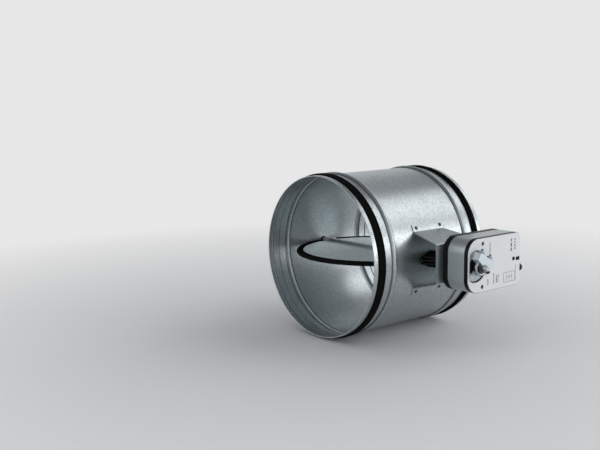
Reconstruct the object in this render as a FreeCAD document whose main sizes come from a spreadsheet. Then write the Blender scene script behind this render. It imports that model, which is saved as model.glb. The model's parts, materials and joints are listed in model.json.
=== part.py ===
"""Round balancing damper for a 250 mm ventilation duct, with a clamp-on electric actuator.

Millimetres. X runs along the blade shaft with the actuator at +X, Y along the duct, Z up.
The origin is where the duct's axis crosses the shaft's axis. The blade stands open.
"""
import FreeCAD, Part
import math
import operator
import os
from types import SimpleNamespace

import Sketcher
from FreeCAD import Placement, Rotation, Vector

SIZES = {
    # Duct casing: one galvanised tube with two beads and a folded hem at each end
    "duct_radius": 124.5,
    "duct_wall": 0.8,
    "duct_length": 235,
    "bead_setback": 39.5,
    "bead_half_width": 5,
    "bead_height": 3.2,
    "bead_foot": 1,
    "bead_foot_reach": 3.6,
    "bead_shoulder": 2.6,
    "bead_shoulder_reach": 1.9,
    "seat_setback": 21,
    "seat_width": 12.8,
    "seat_depth": 0.8,
    "seat_step": 0.8,
    "hem_length": 5,
    # Double-lip gasket in the seat near each end
    "gasket_gap": 0.2,
    "gasket_base": 1.4,
    "lip_height": 2.7,
    "lip_land": 0.8,
    "lip_root": 1.8,
    "lip_lean": 1.6,
    "first_lip": 2.2,
    "second_lip": 8.2,
    # Blade: two steel skins with a rubber ring between them, below the shaft's axis
    "blade_clearance": 0.4,
    "rubber_width": 10.4,
    "tongue_width": 8,
    "tongue_height": 2.6,
    "skin_wall": 0.8,
    "blade_drop": 0.65,
    "rubber_chamfer": 0.8,
    "ridge_setback": 8.9,
    "ridge_inset": 0.8,
    "blade_rivet_setback": 14.9,
    "nose_clearance": 0.6,
    # Shaft
    "shaft_radius": 4,
    "tip_reach": 22.4,
    "tail_reach": 4,
    "running_gap": 0.05,
    "tip_chamfer": 0.6,
    "mark_width": 1.2,
    "mark_depth": 1.2,
    # Bearings in the duct wall
    "sleeve_radius": 9,
    "nose_reach": 1.3,
    "flange_height": 2.5,
    "hub_foot_radius": 13,
    "hub_top_radius": 11,
    "hub_height": 25.5,
    "ear_reach": 22,
    "ear_radius": 4,
    "rib_thickness": 2.2,
    "rib_spacing": 5,
    "far_sleeve_radius": 5.5,
    "far_flange_radius": 11,
    "far_flange_height": 2,
    "far_cup_radius": 6.5,
    "far_cup_wall": 1.5,
    "tail_gap": 0.5,
    "seal_radius": 5.3,
    "seal_wire": 0.95,
    "seal_pocket": 2.2,
    # Rivets
    "rivet_shank": 1.6,
    "rivet_head": 3,
    "rivet_head_height": 1,
    "rivet_tail": 2.4,
    "rivet_tail_height": 1,
    "rivet_slack": 0.05,
    "blade_rivet_shank": 2,
    "blade_rivet_head": 3.6,
    "blade_rivet_dome": 1.3,
    # Console: a folded sheet hat that carries the actuator on the duct
    "console_height": 38.6,
    "console_wall": 1.25,
    "console_half_height": 29.6,
    "foot_angle": 20,
    "flange_angle": 24.8,
    "console_near": 31.5,
    "console_far": 32,
    "console_setback": 0.3,
    "lip_depth": 10,
    "lip_start": 50,
    "console_bend": 2,
    "plate_hole": 9,
    "console_rivet_angle": 22.4,
    "console_rivet_near": 24.5,
    "console_rivet_far": 27,
    "tie_slot_setback": 17.3,
    "tie_slot_width": 3,
    "tie_slot_start": 14,
    "tie_slot_length": 11,
    # Actuator housing
    "hub_offset": 17.2,
    "far_margin": 15.66,
    "housing_half_height": 39.6,
    "near_corner": 22,
    "far_corner": 9,
    "housing_wall": 2.2,
    "tray_proud": 0.4,
    "tray_depth": 8.9,
    "tray_floor": 2.5,
    "shell_length": 30.1,
    "cover_depth": 6.3,
    "cover_skin": 2,
    "face_thickness": 1.2,
    "face_inset": 0.5,
    "face_round": 0.6,
    "notch_length": 9.9,
    "notch_half_width": 2.3,
    "recess_radius": 23.5,
    "recess_depth": 2,
    "recess_margin": 3.4,
    "dial_gap": 0.3,
    "dial_margin": 1.8,
    "dial_thickness": 1,
    "screw_along": 14.5,
    "screw_setback": 8.1,
    "screw_hole": 3,
    "screw_shank": 1.4,
    "screw_head": 2.7,
    "screw_head_height": 2,
    "screw_length": 30,
    "screw_seat": 2,
    "post_radius": 4.2,
    "far_post_setback": 21.3,
    # Gear train behind the front cover
    "gear_plate_place": 22,
    "gear_plate_thickness": 1.5,
    "plate_margin": 0.8,
    "gear_module": 1,
    "pressure_angle": 25,
    "tooth_addendum": 0.8,
    "tooth_dedendum": 1.05,
    "tooth_thinning": 0.14,
    "sector_teeth": 56,
    "third_pinion_teeth": 14,
    "third_wheel_teeth": 36,
    "second_pinion_teeth": 12,
    "second_wheel_teeth": 32,
    "motor_teeth": 12,
    "motor_direction": -50,
    "layer_gap": 0.5,
    "sector_place": 6.2,
    "sector_thickness": 6,
    "sector_ring": 14.4,
    "wheel_thickness": 4,
    "axle_radius": 1.5,
    "axle_boss": 3,
    "axle_seat": 1.3,
    "hub_boss": 15.5,
    "hub_boss_height": 5.5,
    # Output hub, pointer and shaft clamp
    "hub_radius": 12.5,
    "hub_bore": 6.3,
    "hub_rear_gap": 0.6,
    "hub_shoulder": 0.8,
    "collar_radius": 7.7,
    "collar_length": 13,
    "collar_round": 1.8,
    "half_collar_top": 0.5,
    "clamp_angle": 29.7,
    "pointer_angle": 23,
    "pointer_gap": 0.3,
    "pointer_thickness": 1.5,
    "pointer_ring": 12,
    "pointer_reach": 32,
    "pointer_half_width": 3.2,
    "lug_angle": 134,
    "lug_root": 9,
    "lug_reach": 19.7,
    "lug_half_width": 3,
    "lug_thickness": 2,
    "lug_hole": 1.3,
    "lug_hole_reach": 16,
    "saddle_gap": 0.3,
    "saddle_depth": 12,
    "saddle_half_width": 16.4,
    "saddle_bottom": 2,
    "saddle_slope": 3.3,
    "saddle_top": 16.3,
    "saddle_chamfer": 1.5,
    "bolt_wire": 2,
    "bolt_half_spacing": 10.3,
    "bolt_place": 6.8,
    "bolt_end": 24.4,
    "leg_play": 0.15,
    "nut_flats": 3.6,
    "nut_height": 3.4,
    "nut_flange": 4.7,
    "nut_flange_height": 1,
    # Motor, board, button and cable gland
    "motor_radius": 12.5,
    "motor_length": 15.2,
    "motor_wall": 0.8,
    "motor_boss": 3,
    "motor_boss_height": 1.8,
    "motor_shaft_radius": 1.15,
    "magnet_radius": 9.5,
    "magnet_length": 9,
    "magnet_start": 2.4,
    "board_setback": 37.3,
    "board_bottom": 9,
    "board_headroom": 4.6,
    "board_length": 48,
    "board_thickness": 1.6,
    "standoff_height": 2.7,
    "standoff_radius": 2,
    "standoff_inset": 4,
    "capacitor_radius": 4,
    "capacitor_height": 10,
    "edge_bevel": 0.5,
    "terminal_length": 16,
    "terminal_height": 9,
    "terminal_depth": 8,
    "button_setback": 15.9,
    "button_across": 1,
    "button_radius": 2.95,
    "button_proud": 0.7,
    "button_travel": 2.5,
    "button_collar": 3.6,
    "button_collar_height": 1.6,
    "button_guide": 3.75,
    "button_guide_depth": 5,
    "spring_radius": 2.6,
    "spring_wire": 0.3,
    "spring_turns": 6,
    "gland_place": 23.4,
    "gland_drop": 18,
    "gland_shank": 4.5,
    "gland_flange": 6.6,
    "gland_flange_height": 3,
    "gland_barrel": 6,
    "gland_mouth": 5.2,
    "gland_length": 18,
    "gland_bore": 3.1,
    "gland_bore_depth": 16,
    "gland_nut_height": 2.2,
    "gland_nut_radius": 6.5,
    # Pin that stops the actuator turning with the shaft
    "stop_pin_radius": 1.75,
    "stop_pin_reach": 12,
    "stop_pin_head": 4.6,
    "stop_pin_head_height": 3.2,
    "stop_pin_play": 0.15,
}

OPERATIONS = {
    "+": operator.add,
    "-": operator.sub,
    "*": operator.mul,
    "/": operator.truediv,
}
CUT_MARGIN = 5.0
SPRING_STEPS = 12

DOC = FreeCAD.newDocument("balancing_damper")


# Sizes and their formulas


class Size:
    """A number that also carries the sheet formula it comes from."""

    def __init__(self, formula, value):
        self.formula = formula
        self.value = float(value)

    def __add__(self, other):
        return combined(self, "+", other)

    def __radd__(self, other):
        return combined(other, "+", self)

    def __sub__(self, other):
        return combined(self, "-", other)

    def __rsub__(self, other):
        return combined(other, "-", self)

    def __mul__(self, other):
        return combined(self, "*", other)

    def __rmul__(self, other):
        return combined(other, "*", self)

    def __truediv__(self, other):
        return combined(self, "/", other)

    def __neg__(self):
        return combined(0, "-", self)


def sized(number):
    return number if isinstance(number, Size) else Size(str(float(number)), number)


def combined(left, sign, right):
    left, right = sized(left), sized(right)
    value = OPERATIONS[sign](left.value, right.value)
    return Size(f"({left.formula} {sign} {right.formula})", value)


def square_root(size):
    return Size(f"sqrt({size.formula})", math.sqrt(size.value))


def cosine(angle):
    return Size(f"cos({angle.formula})", math.cos(math.radians(angle.value)))


def sine(angle):
    return Size(f"sin({angle.formula})", math.sin(math.radians(angle.value)))


def tangent(angle):
    return Size(f"tan({angle.formula})", math.tan(math.radians(angle.value)))


def arc_tangent(size):
    angle = math.degrees(math.atan(size.value))
    return Size(f"(atan({size.formula}) / 1 deg)", angle)


def make_sheet():
    """The spreadsheet of driving dimensions, and the same names as Size objects."""
    sheet = DOC.addObject("Spreadsheet::Sheet", "sizes")
    for row, (name, number) in enumerate(SIZES.items(), start=1):
        sheet.set(f"A{row}", name)
        sheet.set(f"B{row}", str(number))
        sheet.setAlias(f"B{row}", name)
    DOC.recompute()
    return SimpleNamespace(
        **{name: Size(f"sizes.{name}", sheet.get(name)) for name in SIZES}
    )


def bind(item, path, size):
    item.setExpression(path, sized(size).formula)


# Bodies, sketches and features


class Circle:
    """A full circle in a sketch."""

    def __init__(self, across, up, radius):
        self.across, self.up, self.radius = sized(across), sized(up), sized(radius)


def dimension(sketch, kind, where, size):
    """One dimension of a sketch, tied to its formula."""
    index = sketch.addConstraint(Sketcher.Constraint(kind, *where, size.value))
    sketch.setExpression(f"Constraints[{index}]", size.formula)


def draw_circle(sketch, circle):
    centre = Vector(circle.across.value, circle.up.value, 0)
    shape = Part.Circle(centre, Vector(0, 0, 1), circle.radius.value)
    line = sketch.addGeometry(shape, False)
    dimension(sketch, "DistanceX", (-1, 1, line, 3), circle.across)
    dimension(sketch, "DistanceY", (-1, 1, line, 3), circle.up)
    dimension(sketch, "Radius", (line,), circle.radius)


def arc_between(start, end, radius):
    """The short arc from start to end; it turns left for a positive radius."""
    chord = end - start
    left = Vector(-chord.y, chord.x, 0).normalize()
    rise = math.sqrt(max(radius**2 - chord.Length**2 / 4, 0))
    centre = (start + end) * 0.5 + left * math.copysign(rise, radius)
    first, last = (start, end) if radius > 0 else (end, start)
    circle = Part.Circle(centre, Vector(0, 0, 1), abs(radius))
    return Part.ArcOfCircle(circle, circle.parameter(first), circle.parameter(last))


def draw_chain(sketch, vertices, closed=True):
    """Lines and arcs through the vertices. A vertex is (across, up) and, where an arc
    leaves it, the arc's radius, which is negative if the arc turns right."""
    points = [Vector(sized(v[0]).value, sized(v[1]).value, 0) for v in vertices]
    spans = len(points) if closed else len(points) - 1
    ends = []
    for i in range(spans):
        vertex, start, end = vertices[i], points[i], points[(i + 1) % len(points)]
        if len(vertex) == 2:
            line = sketch.addGeometry(Part.LineSegment(start, end), False)
            ends.append(((line, 1), (line, 2)))
            continue
        radius = vertex[2]
        line = sketch.addGeometry(arc_between(start, end, radius.value), False)
        leftward = radius.value > 0
        ends.append(((line, 1), (line, 2)) if leftward else ((line, 2), (line, 1)))
        dimension(sketch, "Radius", (line,), radius if leftward else -radius)
    for i in range(spans if closed else spans - 1):
        joint = (*ends[i][1], *ends[(i + 1) % spans][0])
        sketch.addConstraint(Sketcher.Constraint("Coincident", *joint))
    corners = [end[0] for end in ends] + ([] if closed else [ends[-1][1]])
    for corner, vertex in zip(corners, vertices):
        dimension(sketch, "DistanceX", (-1, 1, *corner), sized(vertex[0]))
        dimension(sketch, "DistanceY", (-1, 1, *corner), sized(vertex[1]))


class Piece:
    """One piece of the damper: a PartDesign body, built feature by feature."""

    def __init__(self, label):
        self.label = label
        self.body = DOC.addObject("PartDesign::Body", label)
        self.body.Label = label

    def plane(self, role):
        features = self.body.Origin.OriginFeatures
        return next(feature for feature in features if feature.Role == role)

    def volume(self):
        return self.body.Shape.Volume if self.body.Tip else 0.0

    def sketch(self, name, role, loops, offset=0):
        sketch = self.body.newObject("Sketcher::SketchObject", f"{self.label}_{name}_sketch")
        sketch.AttachmentSupport = [(self.plane(role), "")]
        sketch.MapMode = "FlatFace"
        bind(sketch, "AttachmentOffset.Base.z", offset)
        for loop in loops:
            if isinstance(loop, Circle):
                draw_circle(sketch, loop)
            else:
                draw_chain(sketch, loop)
        return sketch

    def made(self, feature, before, cuts):
        """Checks that a new feature adds or takes material as it should."""
        DOC.recompute()
        change = self.body.Shape.Volume - before
        if not (change < 0 if cuts else change > 0):
            raise RuntimeError(f"{feature.Name} changed the volume by {change:.3f}")
        return self

    def prism(self, name, role, loops, low, high, cuts=False):
        """Material between two planes square to the third axis, added or cut away."""
        before = self.volume()
        low, high = sized(low), sized(high)
        backward = role == "XZ_Plane"
        start = high if cuts != backward else low
        sketch = self.sketch(name, role, loops, -start if backward else start)
        kind = "PartDesign::Pocket" if cuts else "PartDesign::Pad"
        feature = self.body.newObject(kind, f"{self.label}_{name}")
        feature.Profile = sketch
        bind(feature, "Length", high - low)
        return self.made(feature, before, cuts)

    def cut(self, name, role, loops, low, high):
        return self.prism(name, role, loops, low, high, cuts=True)

    def turned(self, name, role, loops, axis="V_Axis", cuts=False):
        """A full turn of the loops about one of the sketch's own axes."""
        before = self.volume()
        sketch = self.sketch(name, role, loops)
        kind = "PartDesign::Groove" if cuts else "PartDesign::Revolution"
        feature = self.body.newObject(kind, f"{self.label}_{name}")
        feature.Profile = sketch
        feature.ReferenceAxis = (sketch, [axis])
        feature.Angle = 360
        return self.made(feature, before, cuts)

    def mirrored(self, name, role):
        """The last feature repeated on the other side of an origin plane."""
        before = self.volume()
        source = self.body.Tip
        feature = self.body.newObject("PartDesign::Mirrored", f"{self.label}_{name}")
        feature.Originals = [source]
        feature.MirrorPlane = (self.plane(role), [""])
        self.body.Tip = feature
        return self.made(feature, before, False)

    def drilled(self, name, radius, height, place, axis, angle):
        """A round hole from a point, along Z turned by an angle about an axis."""
        before = self.volume()
        kind = "PartDesign::SubtractiveCylinder"
        feature = self.body.newObject(kind, f"{self.label}_{name}")
        bind(feature, "Radius", radius)
        bind(feature, "Height", height)
        set_placement(feature, place, axis, angle)
        return self.made(feature, before, True)

    def edged(self, name, kind, size, chosen):
        """A fillet or chamfer on the edges that a test picks."""
        source = self.body.Tip
        names = [
            f"Edge{number}"
            for number, edge in enumerate(source.Shape.Edges, start=1)
            if chosen(edge)
        ]
        feature = self.body.newObject(f"PartDesign::{kind}", f"{self.label}_{name}")
        feature.Base = (source, names)
        bind(feature, "Radius" if kind == "Fillet" else "Size", size)
        DOC.recompute()
        return self


def set_placement(item, place, axis=Vector(0, 0, 1), angle=0):
    angle = sized(angle)
    item.Placement = Placement(Vector(), Rotation(axis, angle.value))
    if angle.value:
        item.setExpression("Placement.Rotation.Angle", angle.formula)
    for name, size in zip("xyz", place):
        bind(item, f"Placement.Base.{name}", size)


def group(label, members):
    """Separate solids that share one node."""
    compound = DOC.addObject("Part::Compound", label)
    compound.Label = label
    compound.Links = members
    return compound


def solid(label, shape):
    """A piece made with Part's own functions."""
    feature = DOC.addObject("Part::Feature", label)
    feature.Label = label
    feature.Shape = shape
    return feature


def along(edge, direction):
    """Whether an edge is straight and runs in a direction."""
    if not isinstance(edge.Curve, Part.Line):
        return False
    return abs(abs(edge.Curve.Direction.dot(direction)) - 1) < 1e-6


s = make_sheet()

# Places that several pieces share
duct_inside = s.duct_radius - s.duct_wall
bead_place = s.duct_length / 2 - s.bead_setback
seat_start = s.duct_length / 2 - s.seat_setback
seat_end = seat_start + s.seat_width
seat_floor = s.duct_radius - s.seat_depth
lip_radius = s.duct_radius + s.lip_height
blade_radius = duct_inside - s.blade_clearance
skin_radius = blade_radius - s.rubber_width
skin_top = -s.blade_drop
tongue_top = skin_top - s.skin_wall
tongue_bottom = tongue_top - s.tongue_height
skin_bottom = tongue_bottom - s.skin_wall
ridge_start = skin_radius - s.ridge_setback
rivet_reach = skin_radius - s.blade_rivet_setback
bore = s.shaft_radius + s.running_gap
nose_face = duct_inside - s.nose_reach
hub_front = s.duct_radius + s.hub_height
flange_top = s.duct_radius + s.flange_height
shaft_tail = s.duct_radius + s.tail_reach

# Actuator, from the console's plate outwards
console_face = s.duct_radius + s.console_height
tie_slot_place = console_face - s.tie_slot_setback
rear_face = console_face
tray_front = rear_face + s.tray_depth
tray_inside = rear_face + s.tray_floor
shell_front = tray_front + s.shell_length
cover_front = shell_front + s.cover_depth
cover_inside = cover_front - s.cover_skin
housing_face = cover_front + s.face_thickness
recess_floor = cover_front - s.recess_depth
recess_back = recess_floor - s.cover_skin
gear_plate_rear = rear_face + s.gear_plate_place
gear_plate_front = gear_plate_rear + s.gear_plate_thickness
shaft_tip = housing_face + s.tip_reach

# Gear axes, all square to the gear plate
third_along = s.gear_module * (s.sector_teeth + s.third_pinion_teeth) / 2
second_along = (
    third_along + s.gear_module * (s.third_wheel_teeth + s.second_pinion_teeth) / 2
)
motor_distance = s.gear_module * (s.second_wheel_teeth + s.motor_teeth) / 2
motor_along = second_along + motor_distance * cosine(s.motor_direction)
motor_across = motor_distance * sine(s.motor_direction)
sector_rear = rear_face + s.sector_place
sector_front = sector_rear + s.sector_thickness
third_rear = sector_front + s.layer_gap
third_front = third_rear + s.wheel_thickness
second_rear = third_front + s.layer_gap
second_front = second_rear + s.wheel_thickness

# Ends of the housing along the duct, and what is set out from its far end
near_end = -s.hub_offset
far_end = motor_along + s.motor_radius + s.far_margin
stop_pin_along = far_end - s.notch_length + s.notch_half_width + 1
far_post_along = far_end - s.far_post_setback
button_along = far_end - s.button_setback
board_along = far_end - s.board_setback
board_top = s.housing_half_height - s.board_headroom
board_across = (board_top + s.board_bottom) / 2
screw_across = s.housing_half_height - s.screw_setback
console_end = far_end - s.console_setback

# Clamp and pointer, in front of the housing
shoulder = cover_front - s.hub_shoulder
pointer_rear = housing_face + s.pointer_gap
pointer_front = pointer_rear + s.pointer_thickness
saddle_rear = pointer_front + s.saddle_gap
saddle_front = saddle_rear + s.saddle_depth
bolt_plane = saddle_rear + s.bolt_place
notch_apex = (s.shaft_radius + s.running_gap) * square_root(sized(2))


# Duct casing and gaskets


def duct_profile():
    """Half of the tube's section, from the middle to one end, with its hem and bead."""
    wall, outer, inner = s.duct_wall, s.duct_radius, duct_inside
    end = s.duct_length / 2
    bead = [
        (sized(0), s.bead_half_width),
        (s.bead_foot, s.bead_foot_reach),
        (s.bead_shoulder, s.bead_shoulder_reach),
    ]
    rise = [(up, bead_place - reach) for up, reach in bead]
    fall = [(up, bead_place + reach) for up, reach in reversed(bead)]
    over = rise + [(s.bead_height, bead_place)] + fall
    return [
        (outer, 0),
        *[(outer + up, place) for up, place in over],
        (outer, seat_start - s.seat_step),
        (seat_floor, seat_start),
        (seat_floor, seat_end),
        (outer, seat_end + s.seat_step),
        (outer, end - wall),
        (outer - wall / 2, end),
        (outer - 3 * wall / 2, end),
        (outer - 2 * wall, end - wall),
        (outer - 2 * wall, end - s.hem_length),
        (inner, end - s.hem_length),
        (inner, seat_end + s.seat_step),
        (seat_floor - wall, seat_end),
        (seat_floor - wall, seat_start),
        (inner, seat_start - s.seat_step),
        *[(inner + up, place) for up, place in reversed(over)],
        (inner, 0),
    ]


def make_duct():
    duct = Piece("duct_body").turned("half", "XY_Plane", [duct_profile()])
    duct.mirrored("ends", "XZ_Plane")
    gap = s.rivet_slack
    shaft_hole = Circle(0, 0, s.sleeve_radius + gap)
    duct.cut("drive_hole", "YZ_Plane", [shaft_hole], nose_face, flange_top)
    far_hole = Circle(0, 0, s.far_sleeve_radius + gap)
    duct.cut("far_hole", "YZ_Plane", [far_hole], -flange_top, -nose_face)
    ears = [Circle(side * s.ear_reach, 0, s.rivet_shank + gap) for side in (-1, 1)]
    duct.cut("ear_holes", "YZ_Plane", ears, nose_face - 1, flange_top)
    for number, (place, turn) in enumerate(console_rivet_places(), start=1):
        start = [duct_inside * cosine(turn) * 0.98, place, duct_inside * sine(turn) * 0.98]
        radius = s.rivet_shank + gap
        duct.drilled(f"hole_{number}", radius, 10, start, Vector(0, 1, 0), 90 - turn)


def console_rivet_places():
    """Along the duct and round it: two rivets in each of the console's flanges."""
    for turn in (s.console_rivet_angle, -s.console_rivet_angle):
        yield -s.console_rivet_near, turn
        yield s.console_rivet_far, turn


def gasket_profile(side):
    """A flat base with two lips that lean towards the middle of the duct."""
    base_top = seat_floor + s.gasket_base
    start, end = seat_start + s.gasket_gap, seat_end - s.gasket_gap
    section = [(seat_floor, start), (base_top, start)]
    for place in (s.first_lip, s.second_lip):
        root = seat_start + place
        section.append((base_top, root))
        section.append((lip_radius, root - s.lip_lean))
        section.append((lip_radius, root - s.lip_lean + s.lip_land))
        section.append((base_top, root + s.lip_root))
    section += [(base_top, end), (seat_floor, end)]
    return [(radius, side * place) for radius, place in section]


def make_gaskets():
    for label, side in (("front_gasket", -1), ("rear_gasket", 1)):
        Piece(label).turned("ring", "XY_Plane", [gasket_profile(side)])


# Console


def console_profile():
    """The hat's section: feet on the duct, sloping walls and a flat plate."""
    wall, outer = s.console_wall, s.duct_radius
    foot_x, foot_z = (outer + wall) * cosine(s.foot_angle), (outer + wall) * sine(s.foot_angle)
    slope = arc_tangent((foot_z - s.console_half_height) / (console_face - foot_x))
    skew_wall = wall / cosine(slope + s.foot_angle)
    inner_angle = s.foot_angle - skew_wall / outer * (180 / math.pi)
    corner_z = s.console_half_height - wall * tangent(45 - slope / 2)
    tip = (cosine(s.flange_angle), sine(s.flange_angle))
    inner_foot = (outer * cosine(inner_angle), outer * sine(inner_angle))
    return [
        (console_face, -s.console_half_height),
        (console_face, s.console_half_height),
        (foot_x, foot_z, outer + wall),
        ((outer + wall) * tip[0], (outer + wall) * tip[1]),
        (outer * tip[0], outer * tip[1], -outer),
        inner_foot,
        (console_face - wall, corner_z),
        (console_face - wall, -corner_z),
        (inner_foot[0], -inner_foot[1], -outer),
        (outer * tip[0], -outer * tip[1]),
        ((outer + wall) * tip[0], -(outer + wall) * tip[1], outer + wall),
        (foot_x, -foot_z),
    ]


def make_console():
    console = Piece("console")
    profile = [console_profile()]
    console.prism("hat", "XZ_Plane", profile, -s.console_near, console_end)
    face, wall = console_face, s.console_wall
    corners = {
        "outer": (face, s.console_half_height, s.console_bend),
        "inner": (face - wall, s.console_half_height, s.console_bend - wall),
    }
    for name, (across, height, radius) in corners.items():

        def at_bend(edge, across=across, height=height):
            point = edge.CenterOfMass
            near = abs(point.x - across.value) < 1e-3
            high = abs(abs(point.z) - height.value) < wall.value + 1e-3
            return along(edge, Vector(0, 1, 0)) and near and high

        console.edged(f"{name}_bends", "Fillet", radius, at_bend)
    inside = s.duct_radius * 0.8
    foot = (s.duct_radius + wall) * cosine(s.foot_angle) + wall
    lip = face - s.lip_depth
    beyond = console_end + CUT_MARGIN
    plan = [
        (inside, s.console_far),
        (foot, s.console_far),
        (lip, s.lip_start),
        (lip, beyond),
        (inside, beyond),
    ]
    side_reach = s.duct_radius / 2
    console.cut("side_trim", "XY_Plane", [plan], -side_reach, side_reach)
    shaft_hole = Circle(0, 0, s.plate_hole)
    pin_hole = Circle(stop_pin_along, 0, s.stop_pin_radius + s.stop_pin_play)
    console.cut("plate_holes", "YZ_Plane", [shaft_hole, pin_hole], face - wall - 1, face + 1)
    low, high = tie_slot_place - s.tie_slot_width / 2, tie_slot_place + s.tie_slot_width / 2
    first, last = s.tie_slot_start, s.tie_slot_start + s.tie_slot_length
    slot = [(low, first), (high, first), (high, last), (low, last)]
    console.cut("tie_slot", "XY_Plane", [slot], s.console_half_height / 2, side_reach)
    for number, (place, turn) in enumerate(console_rivet_places(), start=1):
        start = [duct_inside * cosine(turn), place, duct_inside * sine(turn)]
        radius = s.rivet_shank + s.rivet_slack
        console.drilled(f"hole_{number}", radius, 10, start, Vector(0, 1, 0), 90 - turn)


# Rivets


def make_rivet(label, shank, head, dome, tail, tail_height, grip):
    """A rivet along Z: its head sits on the plane Z = 0 and its tail is below the grip."""
    section = [
        (0, -grip - tail_height),
        (tail, -grip - tail_height),
        (tail, -grip),
        (shank, -grip),
        (shank, 0),
        (head, 0),
        (head - dome, dome),
        (0, dome),
    ]
    return Piece(label).turned("turn", "XZ_Plane", [section]).body


def make_wall_rivets():
    """Rivets of the console's flanges and of the drive side bearing's ears."""
    shape = (s.rivet_shank, s.rivet_head, s.rivet_head_height, s.rivet_tail, s.rivet_tail_height)
    seat = s.duct_radius + s.console_wall
    members = []
    for number, (place, turn) in enumerate(console_rivet_places(), start=1):
        grip = s.console_wall + s.duct_wall + s.rivet_slack
        rivet = make_rivet(f"console_rivet_{number}", *shape, grip)
        spot = [seat * cosine(turn), place, seat * sine(turn)]
        set_placement(rivet, spot, Vector(0, 1, 0), 90 - turn)
        members.append(rivet)
    group("console_rivets", members)
    members = []
    for number, side in enumerate((-1, 1), start=1):
        grip = s.flange_height + s.duct_wall + s.rivet_slack
        rivet = make_rivet(f"bearing_rivet_{number}", *shape, grip)
        set_placement(rivet, [flange_top, side * s.ear_reach, 0], Vector(0, 1, 0), sized(90))
        members.append(rivet)
    group("bearing_rivets", members)


def make_blade_rivets():
    """Two rivets through the blade's ridge, the shaft and the lower skin."""
    seat = s.shaft_radius + s.running_gap + s.skin_wall
    members = []
    for number, side in enumerate((-1, 1), start=1):
        grip = seat - skin_bottom + s.rivet_slack
        shape = (s.blade_rivet_shank, s.blade_rivet_head, s.blade_rivet_dome)
        tail = (s.blade_rivet_head, s.rivet_tail_height)
        rivet = make_rivet(f"blade_rivet_{number}", *shape, *tail, grip)
        set_placement(rivet, [side * rivet_reach, 0, seat])
        members.append(rivet)
    group("blade_rivets", members)


# Bearings and shaft seal


def lozenge(ear, tip, middle):
    """A two-eared flange outline: a round middle and tangent lines to each ear."""
    lean = (middle - tip) / ear
    side = square_root(1 - lean * lean)
    near, far = (middle * lean, middle * side), (ear + tip * lean, tip * side)
    return [
        (near[0], near[1], middle),
        (-near[0], near[1]),
        (-far[0], far[1], tip),
        (-ear - tip, 0, tip),
        (-far[0], -far[1]),
        (-near[0], -near[1], middle),
        (near[0], -near[1]),
        (far[0], -far[1], tip),
        (ear + tip, 0, tip),
        (far[0], far[1]),
    ]


def make_drive_bearing():
    """Moulded bearing with a two-eared flange, a tapered hub and ribs to its ears."""
    bearing = Piece("drive_side_bearing")
    flange = lozenge(s.ear_reach, s.ear_radius, s.hub_foot_radius)
    bearing.prism("flange", "YZ_Plane", [flange], duct_inside, flange_top)
    start = [0, -s.duct_radius / 2, 0]
    turn = (Vector(1, 0, 0), sized(-90))
    bearing.drilled("duct_curve", s.duct_radius, s.duct_radius, start, *turn)
    hub = [
        (flange_top - 1, 0),
        (hub_front, 0),
        (hub_front, s.hub_top_radius),
        (flange_top - 1, s.hub_foot_radius),
    ]
    bearing.turned("hub", "XY_Plane", [hub], "H_Axis")
    sleeve = Circle(0, 0, s.sleeve_radius)
    bearing.prism("sleeve", "YZ_Plane", [sleeve], nose_face, flange_top)
    rib = [
        (flange_top - 1, -s.ear_reach),
        (flange_top, -s.ear_reach + s.ear_radius - 1),
        (hub_front - 2, -s.hub_top_radius + 1),
        (hub_front - 2, s.hub_top_radius - 1),
        (flange_top, s.ear_reach - s.ear_radius + 1),
        (flange_top - 1, s.ear_reach),
    ]
    for name, place in (("low", -s.rib_spacing), ("middle", sized(0)), ("high", s.rib_spacing)):
        low, high = place - s.rib_thickness / 2, place + s.rib_thickness / 2
        bearing.prism(f"{name}_rib", "XY_Plane", [rib], low, high)
    bearing.cut("bore", "YZ_Plane", [Circle(0, 0, bore)], nose_face - 1, hub_front + 1)
    pocket = Circle(0, 0, s.seal_radius + s.seal_wire + s.running_gap)
    bearing.cut("seal_pocket", "YZ_Plane", [pocket], hub_front - s.seal_pocket, hub_front + 1)
    ears = [Circle(side * s.ear_reach, 0, s.rivet_shank + s.rivet_slack) for side in (-1, 1)]
    bearing.cut("ear_holes", "YZ_Plane", ears, duct_inside, flange_top + 1)
    seal = Piece("shaft_seal")
    middle, wide, narrow = hub_front - s.seal_pocket / 2, s.seal_wire, s.seal_wire / 2
    section = [
        (middle - narrow, s.seal_radius - wide),
        (middle + narrow, s.seal_radius - wide),
        (middle + wide, s.seal_radius),
        (middle + narrow, s.seal_radius + wide),
        (middle - narrow, s.seal_radius + wide),
        (middle - wide, s.seal_radius),
    ]
    seal.turned("ring", "XY_Plane", [section], "H_Axis")


def make_far_bearing():
    """Blind bush for the shaft's far end, with a round flange on the duct."""
    bush = Piece("far_side_bearing")
    flange = Circle(0, 0, s.far_flange_radius)
    flange_face = -s.duct_radius - s.far_flange_height
    bush.prism("flange", "YZ_Plane", [flange], flange_face, -duct_inside)
    start = [0, -s.duct_radius / 2, 0]
    turn = (Vector(1, 0, 0), sized(-90))
    bush.drilled("duct_curve", s.duct_radius, s.duct_radius, start, *turn)
    cup_end = -shaft_tail - s.tail_gap - s.far_cup_wall
    bush.prism("cup", "YZ_Plane", [Circle(0, 0, s.far_cup_radius)], cup_end, flange_face)
    sleeve = Circle(0, 0, s.far_sleeve_radius)
    bush.prism("sleeve", "YZ_Plane", [sleeve], flange_face, -nose_face)
    bush.cut("bore", "YZ_Plane", [Circle(0, 0, bore)], -shaft_tail - s.tail_gap, -nose_face + 1)


# Blade and shaft


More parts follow.
